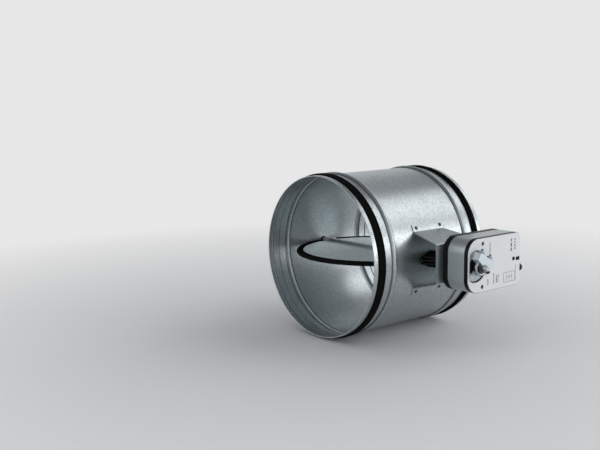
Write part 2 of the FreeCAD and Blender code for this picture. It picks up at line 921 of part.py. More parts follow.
def rivet_holes(piece):
    radius = s.blade_rivet_shank + s.running_gap
    holes = [Circle(side * rivet_reach, 0, radius) for side in (-1, 1)]
    reach = s.shaft_radius * 2
    piece.cut("rivet_holes", "XY_Plane", holes, -reach, reach)


def make_blade():
    """Two round skins with the rubber ring between them and the shaft in a ridge."""
    disc = Circle(0, 0, skin_radius)
    upper = Piece("blade_upper_skin")
    upper.prism("disc", "XY_Plane", [disc], tongue_top, skin_top)
    ridge = bore + s.skin_wall
    half = square_root(ridge * ridge - tongue_top * tongue_top)
    arch = [(half, tongue_top, ridge), (0, ridge, ridge), (-half, tongue_top)]
    ridge_end = skin_radius - s.ridge_inset
    upper.prism("ridge", "YZ_Plane", [arch], -ridge_start, ridge_end)
    upper.cut("channel", "YZ_Plane", [Circle(0, 0, bore)], -skin_radius - 1, skin_radius + 1)
    rivet_holes(upper)
    lower = Piece("blade_lower_skin")
    lower.prism("disc", "XY_Plane", [disc], skin_bottom, tongue_bottom)
    rivet_holes(lower)
    rubber = Piece("blade_gasket")
    inner, bevel = skin_radius - s.tongue_width, s.rubber_chamfer
    section = [
        (inner, tongue_bottom),
        (skin_radius, tongue_bottom),
        (skin_radius, skin_bottom),
        (blade_radius - bevel, skin_bottom),
        (blade_radius, skin_bottom + bevel),
        (blade_radius, skin_top - bevel),
        (blade_radius - bevel, skin_top),
        (skin_radius, skin_top),
        (skin_radius, tongue_top),
        (inner, tongue_top),
    ]
    rubber.turned("ring", "XZ_Plane", [section])
    reach = blade_radius + 1
    rubber.cut("shaft_channel", "YZ_Plane", [Circle(0, 0, bore)], -reach, reach)
    notch = nose_face - s.nose_clearance
    drive = Circle(0, 0, s.sleeve_radius + s.nose_clearance)
    rubber.cut("drive_notch", "YZ_Plane", [drive], notch, reach)
    far = Circle(0, 0, s.far_sleeve_radius + s.nose_clearance)
    rubber.cut("far_notch", "YZ_Plane", [far], -reach, -notch)


def make_shaft():
    """Round bar through both bearings, marked across its tip in line with the blade."""
    shaft = Piece("blade_shaft")
    section = Circle(0, 0, s.shaft_radius)
    shaft.prism("bar", "YZ_Plane", [section], -shaft_tail, shaft_tip)
    rivet_holes(shaft)

    def at_tip(edge):
        return abs(edge.CenterOfMass.x - shaft_tip.value) < 1e-3

    shaft.edged("tip", "Chamfer", s.tip_chamfer, at_tip)
    half, side = s.mark_width / 2, s.shaft_radius + 1
    mark = [(-side, -half), (side, -half), (side, half), (-side, half)]
    shaft.cut("mark", "YZ_Plane", [mark], shaft_tip - s.mark_depth, shaft_tip + 1)


# Actuator housing


def housing_outline(inset):
    """Rounded outline of the actuator, with the slot for the stop pin at its far end."""
    inset = sized(inset)
    near, far, top = near_end + inset, far_end - inset, s.housing_half_height - inset
    big, small = s.near_corner - inset, s.far_corner - inset
    half = s.notch_half_width + inset
    slot = far_end - s.notch_length - inset
    return [
        (near + big, -top),
        (far - small, -top, small),
        (far, -top + small),
        (far, -half),
        (slot + half, -half, -half),
        (slot, 0, -half),
        (slot + half, half),
        (far, half),
        (far, top - small, small),
        (far - small, top),
        (near + big, top, big),
        (near, top - big),
        (near, -top + big, big),
    ]


def clipped_disc(radius, margin):
    """A disc about the hub, cut off straight just inside the housing's near end."""
    edge = near_end + margin
    half = square_root(radius * radius - edge * edge)
    return [(edge, -half, radius), (radius, 0, radius), (edge, half)]


def screw_spots(radius):
    return [Circle(s.screw_along, side * screw_across, radius) for side in (-1, 1)]


def make_rear_tray():
    """Black base of the actuator with its bearing boss, axle bosses and posts."""
    tray = Piece("rear_tray")
    outline, inside = housing_outline(-s.tray_proud), housing_outline(s.housing_wall)
    tray.prism("block", "YZ_Plane", [outline], rear_face, tray_front)
    tray.cut("cavity", "YZ_Plane", [inside], tray_inside, tray_front)
    hub_bore = s.hub_radius + s.running_gap
    boss_top = rear_face + s.hub_boss_height
    tray.prism("hub_boss", "YZ_Plane", [clipped_disc(s.hub_boss, s.housing_wall)], rear_face + 1, boss_top)
    tray.cut("hub_bore", "YZ_Plane", [Circle(0, 0, hub_bore)], rear_face - 1, boss_top + 1)
    for name, place, top in (("third", third_along, sector_rear), ("second", second_along, third_rear)):
        boss = Circle(place, 0, s.axle_boss)
        tray.prism(f"{name}_boss", "YZ_Plane", [boss], rear_face + 1, top - s.layer_gap)
    axles = [Circle(place, 0, s.axle_radius) for place in (third_along, second_along)]
    tray.cut("axle_holes", "YZ_Plane", axles, rear_face + s.axle_seat, gear_plate_rear)
    far_posts = [Circle(far_post_along, side * screw_across, s.post_radius) for side in (-1, 1)]
    posts = screw_spots(s.post_radius) + far_posts
    tray.prism("posts", "YZ_Plane", posts, rear_face + 1, gear_plate_rear)
    deep = cover_front - s.screw_seat * 2 - s.screw_length - 1
    tray.cut("screw_holes", "YZ_Plane", screw_spots(s.screw_shank), deep, gear_plate_rear + 1)


def make_housing_shell():
    """Grey middle shell of the actuator, open to the tray and to the front cover."""
    shell = Piece("housing_shell")
    shell.prism("block", "YZ_Plane", [housing_outline(0)], tray_front, shell_front)
    inside = [housing_outline(s.housing_wall)]
    shell.cut("cavity", "YZ_Plane", inside, tray_front, shell_front)
    spot = Circle(tray_front + s.gland_place, -s.gland_drop, s.gland_shank + s.running_gap)
    shell.cut("gland_hole", "XZ_Plane", [spot], far_end - s.housing_wall - 1, far_end + 1)


def make_front_cover():
    """Black front cover with the dial's recess, screw posts and the button's guide."""
    cover = Piece("front_cover")
    cover.prism("block", "YZ_Plane", [housing_outline(0)], shell_front, cover_front)
    inside = [housing_outline(s.housing_wall)]
    cover.cut("cavity", "YZ_Plane", inside, shell_front, cover_inside)
    floor = clipped_disc(s.recess_radius + s.cover_skin, s.face_inset + 0.5)
    cover.prism("recess_floor", "YZ_Plane", [floor], recess_back, recess_floor)
    posts = screw_spots(s.post_radius)
    cover.prism("posts", "YZ_Plane", posts, gear_plate_front, cover_inside + 1)
    guide = Circle(button_along, s.button_across, s.button_guide)
    guide_rear = cover_inside - s.button_guide_depth
    cover.prism("button_guide", "YZ_Plane", [guide], guide_rear, cover_inside + 1)
    recess = [clipped_disc(s.recess_radius, s.recess_margin)]
    cover.cut("recess", "YZ_Plane", recess, recess_floor, cover_front + 1)
    hub_hole = Circle(0, 0, s.hub_radius + s.dial_gap)
    cover.cut("hub_hole", "YZ_Plane", [hub_hole], recess_back - 1, recess_floor + 1)
    hole = Circle(button_along, s.button_across, s.button_radius + s.running_gap * 2)
    cover.cut("button_hole", "YZ_Plane", [hole], guide_rear - 1, cover_front + 1)
    head_seat = cover_front - s.screw_seat * 2
    cover.cut("head_recess", "YZ_Plane", screw_spots(s.screw_hole), head_seat, cover_front + 1)
    shank = screw_spots(s.screw_shank + s.running_gap)
    cover.cut("screw_holes", "YZ_Plane", shank, gear_plate_front - 1, head_seat + 1)


def make_face():
    """White face plate on the front cover, and the pale dial in its recess."""
    face = Piece("face_plate")
    outline = housing_outline(s.face_inset)
    face.prism("plate", "YZ_Plane", [outline], cover_front, housing_face)

    def on_rim(edge):
        return abs(edge.CenterOfMass.x - housing_face.value) < 1e-3

    face.edged("rim", "Chamfer", s.face_round, on_rim)
    beyond = housing_face + 1
    recess = [clipped_disc(s.recess_radius, s.recess_margin)]
    face.cut("recess", "YZ_Plane", recess, cover_front - 1, beyond)
    button = Circle(button_along, s.button_across, s.button_radius + s.running_gap * 2)
    holes = screw_spots(s.screw_hole) + [button]
    face.cut("holes", "YZ_Plane", holes, cover_front - 1, beyond)
    dial = Piece("dial_ring")
    disc = clipped_disc(s.recess_radius - s.dial_margin, s.recess_margin + s.dial_gap)
    dial.prism("disc", "YZ_Plane", [disc], recess_floor, recess_floor + s.dial_thickness)
    hub_hole = Circle(0, 0, s.hub_radius + s.dial_gap)
    dial.cut("hub_hole", "YZ_Plane", [hub_hole], recess_floor - 1, cover_front)


def make_cover_screws():
    """Screws at the bottom of the two front holes, into the tray's posts."""
    seat = cover_front - s.screw_seat * 2
    members = []
    for number, side in enumerate((-1, 1), start=1):
        section = [
            (seat - s.screw_length, 0),
            (seat + s.screw_head_height, 0),
            (seat + s.screw_head_height, s.screw_head),
            (seat, s.screw_head),
            (seat, s.screw_shank),
            (seat - s.screw_length, s.screw_shank),
        ]
        screw = Piece(f"cover_screw_{number}").turned("turn", "XY_Plane", [section], "H_Axis")
        set_placement(screw.body, [0, s.screw_along, side * screw_across])
        members.append(screw.body)
    group("cover_screws", members)


# Gear train


def tooth_points(teeth, phase, first, last):
    """Corners of the teeth from one number to another, on straight-sided involutes."""
    module, pressure = s.gear_module.value, math.radians(s.pressure_angle.value)
    pitch = module * teeth / 2
    base = pitch * math.cos(pressure)
    root = pitch - s.tooth_dedendum.value * module
    tip = pitch + s.tooth_addendum.value * module
    half_width = (math.pi * module / 2 - s.tooth_thinning.value) / (2 * pitch)

    def half_angle(radius):
        if radius <= base:
            return half_width + math.tan(pressure) - pressure
        lean = math.acos(base / radius)
        return half_width + math.tan(pressure) - pressure - (math.tan(lean) - lean)

    flank = [(radius, half_angle(radius)) for radius in (root, pitch, tip)]
    corners = []
    for number in range(first, last):
        middle = math.radians(phase) + number * 2 * math.pi / teeth
        for radius, angle in flank:
            corners.append((radius, middle - angle))
        for radius, angle in reversed(flank):
            corners.append((radius, middle + angle))
    return [Vector(0, r * math.cos(a), r * math.sin(a)) for r, a in corners]


def toothed(corners, low, high):
    """The solid between two planes square to X whose outline has these corners."""
    wire = Part.makePolygon(corners + corners[:1])
    slab = Part.Face(wire).extrude(Vector(high.value - low.value, 0, 0))
    slab.translate(Vector(low.value, 0, 0))
    return slab


def rod(radius, low, high, along_y=0.0, across=0.0):
    start = Vector(low.value, along_y, across)
    return Part.makeCylinder(radius, high.value - low.value, start, Vector(1, 0, 0))


def full_gear(teeth, phase, low, high):
    number = round(teeth.value)
    return toothed(tooth_points(number, phase, 0, number), low, high)


def make_output_sector():
    """Toothed sector on the hub: it meshes over the blade's quarter turn and no more."""
    teeth = round(s.sector_teeth.value)
    quarter = math.ceil(teeth / 4)
    corners = tooth_points(teeth, 0.0, -quarter - 2, 3)
    sector = toothed([Vector()] + corners, sector_rear, sector_front)
    ring = rod(s.sector_ring.value, sector_rear, sector_front)
    bore_rod = rod(s.hub_radius.value, sector_rear - 1, sector_front + 1)
    solid("output_sector", sector.fuse(ring).cut(bore_rod).removeSplitter())


def make_gears():
    """Two stages of stepped gears on fixed axles, and the motor's pinion."""
    axle_hole = s.axle_radius.value + s.running_gap.value
    third = full_gear(s.third_wheel_teeth, 0.0, third_rear, third_front)
    half_tooth = 180 / s.third_pinion_teeth.value
    third = third.fuse(full_gear(s.third_pinion_teeth, 180 + half_tooth, sector_rear, third_rear))
    third = third.cut(rod(axle_hole, sector_rear - 1, third_front + 1)).removeSplitter()
    third.translate(Vector(0, third_along.value, 0))
    solid("third_gear", third)
    half_tooth = 180 / s.second_pinion_teeth.value
    second = full_gear(s.second_wheel_teeth, s.motor_direction.value, second_rear, second_front)
    pinion = full_gear(s.second_pinion_teeth, 180 + half_tooth, third_rear, second_rear)
    second = second.fuse(pinion)
    second = second.cut(rod(axle_hole, third_rear - 1, second_front + 1)).removeSplitter()
    second.translate(Vector(0, second_along.value, 0))
    solid("second_gear", second)
    phase = s.motor_direction.value + 180 + 180 / s.motor_teeth.value
    pinion = full_gear(s.motor_teeth, phase, second_rear, second_front)
    pinion = pinion.cut(rod(s.motor_shaft_radius.value, second_rear - 1, second_front + 1))
    pinion.translate(Vector(0, motor_along.value, motor_across.value))
    solid("motor_pinion", pinion)


def make_axles():
    """Steel pins of the two stepped gears, from the tray to the gear plate."""
    members = []
    for name, place in (("third", third_along), ("second", second_along)):
        pin = Piece(f"{name}_axle")
        spot = Circle(place, 0, s.axle_radius)
        pin.prism("pin", "YZ_Plane", [spot], rear_face + s.axle_seat, gear_plate_front)
        members.append(pin.body)
    group("gear_axles", members)


def make_gear_plate():
    """Steel plate that holds the hub, the axles and the motor."""
    plate = Piece("gear_plate")
    outline = housing_outline(s.housing_wall + s.plate_margin)
    plate.prism("plate", "YZ_Plane", [outline], gear_plate_rear, gear_plate_front)
    holes = [
        Circle(0, 0, s.hub_radius + s.running_gap),
        Circle(third_along, 0, s.axle_radius),
        Circle(second_along, 0, s.axle_radius),
        Circle(motor_along, motor_across, s.motor_shaft_radius + s.running_gap),
    ]
    holes += screw_spots(s.screw_shank + s.running_gap)
    plate.cut("holes", "YZ_Plane", holes, gear_plate_rear - 1, gear_plate_front + 1)


# Output hub, pointer and clamp


def clamp_turn(body):
    set_placement(body, [0, 0, 0], Vector(1, 0, 0), -s.clamp_angle)


def make_output_hub():
    """Hollow hub through the actuator, whose half collar holds the shaft in a notch."""
    hub = Piece("output_hub")
    rear, front = rear_face + s.hub_rear_gap, pointer_rear + s.collar_length
    hub.prism("journal", "YZ_Plane", [Circle(0, 0, s.hub_radius)], rear, shoulder)
    hub.prism("collar", "YZ_Plane", [Circle(0, 0, s.collar_radius)], shoulder, front)
    round_end = pointer_rear + s.collar_round
    top, side = s.collar_radius + 1, s.collar_radius + 1
    upper = [(-side, -s.half_collar_top), (side, -s.half_collar_top), (side, top), (-side, top)]
    hub.cut("half_collar", "YZ_Plane", [upper], round_end, front + 1)
    hub.cut("bore", "YZ_Plane", [Circle(0, 0, s.hub_bore)], rear - 1, round_end)
    notch = [(0, -notch_apex), (notch_apex + 1, 1), (-notch_apex - 1, 1)]
    hub.cut("notch", "YZ_Plane", [notch], round_end - 1, front + 1)
    clamp_turn(hub.body)


def make_pointer():
    """Black pointer clipped on the hub's collar, in front of the face plate."""
    pointer = Piece("position_pointer")
    ring = [Circle(0, 0, s.pointer_ring), Circle(0, 0, s.collar_radius + s.running_gap)]
    pointer.prism("ring", "YZ_Plane", ring, pointer_rear, pointer_front)
    half = s.pointer_half_width
    root = s.collar_radius + 2
    arm = [(root, -half), (s.pointer_reach - half, -half), (s.pointer_reach, 0)]
    arm += [(s.pointer_reach - half, half), (root, half)]
    pointer.prism("arm", "YZ_Plane", [arm], pointer_rear, pointer_front)
    set_placement(pointer.body, [0, 0, 0], Vector(1, 0, 0), -s.pointer_angle)


def make_lug():
    """Steel stop lug on the front of the pointer's ring."""
    lug = Piece("stop_lug")
    half, tip, front = s.lug_half_width, s.lug_reach, pointer_front + s.lug_thickness
    outline = [(s.lug_root, -half), (tip - half, -half), (tip, 0), (tip - half, half), (s.lug_root, half)]
    lug.prism("plate", "YZ_Plane", [outline], pointer_front, front)
    hole = Circle(s.lug_hole_reach, 0, s.lug_hole)
    lug.cut("hole", "YZ_Plane", [hole], pointer_rear, front + 1)
    set_placement(lug.body, [0, 0, 0], Vector(1, 0, 0), -s.lug_angle)


def make_saddle():
    """Clamp saddle: its notch presses the shaft into the hub's half collar."""
    saddle = Piece("clamp_saddle")
    wide, low, high = s.saddle_half_width, s.saddle_bottom, s.saddle_top
    mouth, bevel = notch_apex - low, s.saddle_chamfer
    section = [
        (-wide, low + s.saddle_slope),
        (-mouth, low),
        (0, notch_apex),
        (mouth, low),
        (wide, low + s.saddle_slope),
        (wide, high - bevel),
        (wide - bevel, high),
        (-wide + bevel, high),
        (-wide, high - bevel),
    ]
    saddle.prism("block", "YZ_Plane", [section], saddle_rear, saddle_front)
    radius = s.bolt_wire + s.leg_play
    legs = [Circle(bolt_plane, side * s.bolt_half_spacing, radius) for side in (-1, 1)]
    saddle.cut("leg_holes", "XY_Plane", legs, low - 1, high + 1)
    clamp_turn(saddle.body)


def make_u_bolt():
    """Bent round bar about the hub's collar, with a leg through each saddle hole."""
    bolt = Piece("clamp_u_bolt")
    half = s.bolt_half_spacing
    path = bolt.body.newObject("Sketcher::SketchObject", "clamp_u_bolt_path")
    path.AttachmentSupport = [(bolt.plane("YZ_Plane"), "")]
    path.MapMode = "FlatFace"
    bind(path, "AttachmentOffset.Base.z", bolt_plane)
    bend = [(-half, s.bolt_end), (-half, 0, half), (0, -half, half), (half, 0), (half, s.bolt_end)]
    draw_chain(path, bend, closed=False)
    section = Circle(bolt_plane, -half, s.bolt_wire)
    profile = bolt.sketch("section", "XY_Plane", [section], s.bolt_end)
    pipe = bolt.body.newObject("PartDesign::AdditivePipe", "clamp_u_bolt_bar")
    pipe.Profile = profile
    pipe.Spine = path
    bolt.made(pipe, 0.0, False)
    clamp_turn(bolt.body)


def hexagon(flats, across=0):
    """Corners of a hexagon from the distance of its flats from the middle."""
    corner = flats / cosine(sized(30))
    side = corner / 2
    return [
        (across + corner, 0),
        (across + side, flats),
        (across - side, flats),
        (across - corner, 0),
        (across - side, -flats),
        (across + side, -flats),
    ]


def make_clamp_nuts():
    """Flanged nuts on the two legs, against the top of the saddle."""
    members = []
    for number, side in enumerate((-1, 1), start=1):
        nut = Piece(f"clamp_nut_{number}")
        seat = s.saddle_top
        top = seat + s.nut_flange_height
        nut.prism("flange", "XY_Plane", [Circle(0, 0, s.nut_flange)], seat, top)
        nut.prism("hexagon", "XY_Plane", [hexagon(s.nut_flats)], top, top + s.nut_height)
        hole = Circle(0, 0, s.bolt_wire + s.running_gap)
        nut.cut("hole", "XY_Plane", [hole], seat - 1, top + s.nut_height + 1)
        set_placement(nut.body, [bolt_plane, side * s.bolt_half_spacing, 0])
        members.append(nut.body)
    clamp_turn(group("clamp_nuts", members))


# Motor, board, button and gland


def make_motor():
    """Motor can on the gear plate, with its magnet rotor and shaft."""
    can = Piece("motor_can")
    end = gear_plate_front + s.motor_length
    inside = end - s.motor_wall
    shaft_gap = s.motor_shaft_radius + s.running_gap
    section = [
        (gear_plate_front, s.motor_radius - s.motor_wall),
        (gear_plate_front, s.motor_radius),
        (end, s.motor_radius),
        (end, 0),
        (inside, 0),
        (inside, shaft_gap),
        (inside - s.motor_boss_height, shaft_gap),
        (inside - s.motor_boss_height, s.motor_boss),
        (inside, s.motor_boss),
        (inside, s.motor_radius - s.motor_wall),
    ]
    can.turned("cup", "XY_Plane", [section], "H_Axis")
    magnet = Piece("rotor_magnet")
    start = gear_plate_front + s.magnet_start
    ring = [Circle(0, 0, s.magnet_radius), Circle(0, 0, s.motor_shaft_radius)]
    magnet.prism("ring", "YZ_Plane", ring, start, start + s.magnet_length)
    shaft = Piece("motor_shaft")
    spot = Circle(0, 0, s.motor_shaft_radius)
    shaft.prism("pin", "YZ_Plane", [spot], second_rear, inside - s.running_gap * 4)
    for piece in (can, magnet, shaft):
        set_placement(piece.body, [0, motor_along, motor_across])


def make_board():
    """Circuit board on four standoffs, with a capacitor and the cable's terminals."""
    board = Piece("circuit_board")
    rear = gear_plate_front + s.standoff_height
    front = rear + s.board_thickness
    half_long = s.board_length / 2
    low, high = board_along - half_long, board_along + half_long
    down, up = s.board_bottom, board_top
    outline = [(low, down), (high, down), (high, up), (low, up)]
    board.prism("plate", "YZ_Plane", [outline], rear, front)
    members = []
    inset = s.standoff_inset
    spots = [(low + inset, down + inset), (high - inset, down + inset)]
    spots += [(low + inset, up - inset), (high - inset, up - inset)]
    for number, (place, height) in enumerate(spots, start=1):
        post = Piece(f"standoff_{number}")
        spot = Circle(place, height, s.standoff_radius)
        post.prism("post", "YZ_Plane", [spot], gear_plate_front, rear)
        members.append(post.body)
    group("board_standoffs", members)
    can = Piece("capacitor")
    spot = Circle(board_along - half_long / 2, board_across, s.capacitor_radius)
    can.prism("can", "YZ_Plane", [spot], front, front + s.capacitor_height)

    def on_top(edge):
        return abs(edge.CenterOfMass.x - (front + s.capacitor_height).value) < 1e-3

    can.edged("top", "Chamfer", s.edge_bevel, on_top)
    terminals = Piece("terminal_block")
    start, bottom = high - s.terminal_length - inset, board_across - s.terminal_height / 2
    block = [
        (start, bottom),
        (start + s.terminal_length, bottom),
        (start + s.terminal_length, bottom + s.terminal_height),
        (start, bottom + s.terminal_height),
    ]
    terminals.prism("block", "YZ_Plane", [block], front, front + s.terminal_depth)


def make_button():
    """Button that lets the gear train go, its spring, and the guide pin for the spring."""
    button = Piece("release_button")
    collar_front = cover_inside - s.button_guide_depth - s.running_gap * 4
    collar_rear = collar_front - s.button_collar_height
    spot = (button_along, s.button_across)
    front = housing_face + s.button_proud
    button.prism("stem", "YZ_Plane", [Circle(*spot, s.button_radius)], collar_rear, front)
    collar = Circle(*spot, s.button_collar)
    button.prism("collar", "YZ_Plane", [collar], collar_rear, collar_front)

    def at_front(edge):
        return abs(edge.CenterOfMass.x - front.value) < 1e-3

    button.edged("front", "Chamfer", s.edge_bevel, at_front)
    wire, radius = s.spring_wire.value, s.spring_radius.value
    length = collar_rear.value - gear_plate_front.value - 4 * wire
    steps = round(s.spring_turns.value * SPRING_STEPS)
    path = []
    for step in range(steps + 1):
        angle = 2 * math.pi * step / SPRING_STEPS
        place = Vector(radius * math.cos(angle), radius * math.sin(angle), length * step / steps)
        path.append(place)
    corners = [Vector(radius + a * wire, 0, b * wire) for a, b in ((1, 0), (0, 1), (-1, 0), (0, -1))]
    section = Part.makePolygon(corners + corners[:1])
    coil = Part.makePolygon(path).makePipeShell([section], True, False, 1)
    spring = solid("button_spring", coil)
    rear = gear_plate_front.value + 2 * wire
    base = Vector(rear, button_along.value, s.button_across.value)
    spring.Placement = Placement(base, Rotation(Vector(0, 1, 0), 90))


def make_gland():
    """Cable gland in the far end of the housing, and the nut behind it."""
    gland = Piece("cable_gland")
    inside = -s.housing_wall
    section = [
        (0, inside - s.gland_nut_height),
        (s.gland_shank, inside - s.gland_nut_height),
        (s.gland_shank, 0),
        (s.gland_flange, 0),
        (s.gland_flange, s.gland_flange_height),
        (s.gland_barrel, s.gland_flange_height),
        (s.gland_barrel, s.gland_length - s.gland_flange_height),
        (s.gland_mouth, s.gland_length),
        (s.gland_bore, s.gland_length),
        (s.gland_bore, s.gland_length - s.gland_bore_depth),
        (0, s.gland_length - s.gland_bore_depth),
    ]
    gland.turned("body", "XY_Plane", [section])
    nut = Piece("gland_nut")
    ring = [
        (s.gland_shank, inside - s.gland_nut_height),
        (s.gland_nut_radius, inside - s.gland_nut_height),
        (s.gland_nut_radius, inside),
        (s.gland_shank, inside),
    ]
    nut.turned("ring", "XY_Plane", [ring])
    for piece in (gland, nut):
        set_placement(piece.body, [tray_front + s.gland_place, far_end, -s.gland_drop])


def make_stop_pin():
    """Pin through the console's plate that holds the actuator by its slot."""
    pin = Piece("stop_pin")
    rear = console_face - s.console_wall
    head_rear = rear - s.stop_pin_head_height
    head = hexagon(s.stop_pin_head, stop_pin_along)
    pin.prism("head", "YZ_Plane", [head], head_rear, rear)
    spot = Circle(stop_pin_along, 0, s.stop_pin_radius)
    pin.prism("shank", "YZ_Plane", [spot], head_rear, console_face + s.stop_pin_reach)


NODES = [
    "duct_body",
    "front_gasket",
    "rear_gasket",
    "console",
    "console_rivets",
    "drive_side_bearing",
    "bearing_rivets",
    "shaft_seal",
    "far_side_bearing",
    "blade_upper_skin",
    "blade_lower_skin",
    "blade_gasket",
    "blade_rivets",
    "blade_shaft",
    "rear_tray",
    "housing_shell",
    "front_cover",
    "face_plate",
    "dial_ring",
    "cover_screws",
    "gear_plate",
    "gear_axles",
    "output_sector",
    "third_gear",
    "second_gear",
    "motor_pinion",
    "motor_shaft",
    "rotor_magnet",
    "motor_can",
    "circuit_board",
    "board_standoffs",
    "capacitor",
    "terminal_block",
    "release_button",
    "button_spring",
    "cable_gland",
    "gland_nut",
    "stop_pin",
    "output_hub",
    "position_pointer",
    "stop_lug",
    "clamp_saddle",
    "clamp_u_bolt",
    "clamp_nuts",
]


def checked_nodes():
    """The document's sub-parts by name, once every object and shape is sound."""
    DOC.recompute()
    failed = [o.Name for o in DOC.Objects if {"Invalid", "Error"} & set(o.State)]
    if failed:
        raise RuntimeError(f"objects that failed: {failed}")
    parts = {name: DOC.getObjectsByLabel(name)[0] for name in NODES}
    for name, part in parts.items():
        if part.Shape.isNull() or not part.Shape.isValid() or not part.Shape.Solids:
            raise RuntimeError(f"{name} has no sound shape")
    return parts


def main():
    make_duct()
    make_gaskets()
    make_console()
    make_wall_rivets()
    make_drive_bearing()
    make_far_bearing()
    make_blade()
    make_blade_rivets()
    make_shaft()
    make_rear_tray()
    make_housing_shell()
    make_front_cover()
    make_face()
    make_cover_screws()
    make_gear_plate()
    make_axles()
    make_output_sector()
    make_gears()
    make_output_hub()
    make_pointer()
    make_lug()
    make_saddle()
    make_u_bolt()
    make_clamp_nuts()
    make_motor()
    make_board()
    make_button()
    make_gland()
    make_stop_pin()
    os.makedirs("parts", exist_ok=True)
    for name, part in checked_nodes().items():
        part.Shape.exportStep(f"parts/{name}.step")


main()
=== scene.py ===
"""Looks of the round balancing damper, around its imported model. Metres.

X runs along the blade shaft towards the actuator, Y along the duct, Z up.
"""
import json
import math

import bpy
from mathutils import Matrix, Vector

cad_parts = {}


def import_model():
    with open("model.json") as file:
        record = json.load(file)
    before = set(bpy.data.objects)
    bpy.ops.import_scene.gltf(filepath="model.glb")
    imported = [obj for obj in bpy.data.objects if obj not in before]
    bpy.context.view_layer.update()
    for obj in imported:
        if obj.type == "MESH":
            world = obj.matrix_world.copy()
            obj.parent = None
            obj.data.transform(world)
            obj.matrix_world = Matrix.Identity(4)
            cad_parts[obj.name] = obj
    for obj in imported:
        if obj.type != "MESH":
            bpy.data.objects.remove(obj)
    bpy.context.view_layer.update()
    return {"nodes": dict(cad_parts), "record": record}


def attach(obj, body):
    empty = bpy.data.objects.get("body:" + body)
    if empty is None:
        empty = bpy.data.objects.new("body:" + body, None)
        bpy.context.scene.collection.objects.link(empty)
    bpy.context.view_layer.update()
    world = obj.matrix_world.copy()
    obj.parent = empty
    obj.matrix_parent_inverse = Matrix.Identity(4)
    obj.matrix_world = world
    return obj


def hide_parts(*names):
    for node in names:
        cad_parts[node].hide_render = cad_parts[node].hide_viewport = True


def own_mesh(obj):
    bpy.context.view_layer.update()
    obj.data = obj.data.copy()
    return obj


MM = 0.001
TURN_STEPS = 288
SHARP_ANGLE = math.radians(32)
MIX_FROM, MIX_TO, MIX_RESULT = 6, 7, 2

# Camera, fitted to the photograph's frame of 600 by 450
CAMERA_PLACE = (1.0003, -0.9613, 0.2451)
CAMERA_AZIMUTH = 51.005
CAMERA_ELEVATION = 8.478
CAMERA_ROLL = -0.765
CAMERA_LENS = 52.395
CAMERA_SENSOR = 36
CAMERA_CLIP = (0.05, 60)

# Tube, in millimetres as all sizes of the object here
DUCT_RADIUS = 124.5
DUCT_WALL = 0.8
DUCT_END = 117.5
BEAD_PLACE = 78
BEAD_HALF = 5
BEAD_HEIGHT = 3.2
BEAD_FOOT = 0.8
FOOT_STEPS = 6
CROWN_STEPS = 14
SEAT_START = 96.5
SEAT_END = 109.3
SEAT_DEPTH = 0.8
SEAT_EASE = 0.1
SEAT_SLOPE = 0.9
HEM_LENGTH = 5
HEM_STEPS = 12

# Painted shade: darker lines where shade falls in the sheet's folds and at the foot of the blade's
# ridge; middle, reach to both sides of it, half width
SEAT_MIDDLE = (SEAT_START + SEAT_END) / 2
SEAT_HALF = (SEAT_END - SEAT_START) / 2
TUBE_PAINTED_SHADE = ((BEAD_PLACE, BEAD_HALF - 0.3, 1.8), (SEAT_MIDDLE, SEAT_HALF, 1.1))
RIDGE_PAINTED_SHADE = ((0, 4.3, 1.7),)
# Tone of the painted shade in the folds, as a share of the sheet's own colour
PAINTED_SHADE_TONE = 0.12

# Duct gaskets. Points of a lip and a rib are a rise and a way along from their root.
# The rise is from the ring's top, and from LIP_RADIUS for a lip's tip
GASKET_START = 96.75
GASKET_END = 109.05
GASKET_RISE = 0.6
LIP_RADIUS = 127.2
LIP_ROOTS = (98.7, 104.7)
LIP_BACK = ((0.05, -0.35), (0.5, -0.25))
LIP_TIP = ((-0.4, -1.75), (0, -1.5), (0, -1.0), (-0.3, -0.75))
LIP_FRONT = ((0.5, 1.6), (0, 1.9))
RIB_PLACES = (2.5, 3.3)
RIB_PROFILE = ((0, 0), (0.35, 0.2), (0.35, 0.4), (0, 0.6))

# Blind rivets. The head's profile is in shares of its radius and of its dome
SMALL_RIVET = {"shank": 1.6, "head": 3, "dome": 1, "tail": 2.4}
BLADE_RIVET = {"shank": 2, "head": 3.6, "dome": 1.3, "tail": 3.6}
HEAD_PROFILE = ((1, 0), (0.97, 0.3), (0.8, 0.66), (0.52, 0.95))
MANDREL_RADIUS = 0.65
MANDREL_RIM = 0.75
TAIL_HEIGHT = 1
RIVET_STEPS = 24
CONSOLE_SEAT = DUCT_RADIUS + 1.25
CONSOLE_RIVET_ANGLES = (22.4, -22.4)
CONSOLE_RIVET_PLACES = (-24.5, 27)
CONSOLE_GRIP = 2.1
EAR_SEAT = 127
EAR_RIVET_PLACES = (-22, 22)
EAR_GRIP = 3.35
RIDGE_TOP = 4.85
BLADE_RIVET_PLACES = (-98, 98)
BLADE_GRIP = 9.75

# Blade's rubber
BLADE_RADIUS = 123.3
BLADE_TOP = -0.65
BLADE_BOTTOM = -4.85
BLADE_LIP_SETBACKS = (9.2, 2.0)
BLADE_LIP_RADIUS = 1.1
BLADE_LIP_SINK = 0.1
BLADE_LIP_GAP = 7
BLADE_LIP_STEPS = 60

# Clamp's bolt
CLAMP_ANGLE = 29.7
BOLT_PLANE = 218.5
BOLT_HALF = 10.3
BOLT_RADIUS = 2
BOLT_TIP = 24.4
BOLT_BEVEL = 0.6
BOLT_BEVEL_SHARE = 0.14
BOLT_PLAIN_HEIGHTS = [9, 4.5, 0]
BEND_STEPS = 24
THREAD_START = 12.0
THREAD_PITCH = 0.8
THREAD_DEPTH = 0.3
THREAD_STEP = 0.2

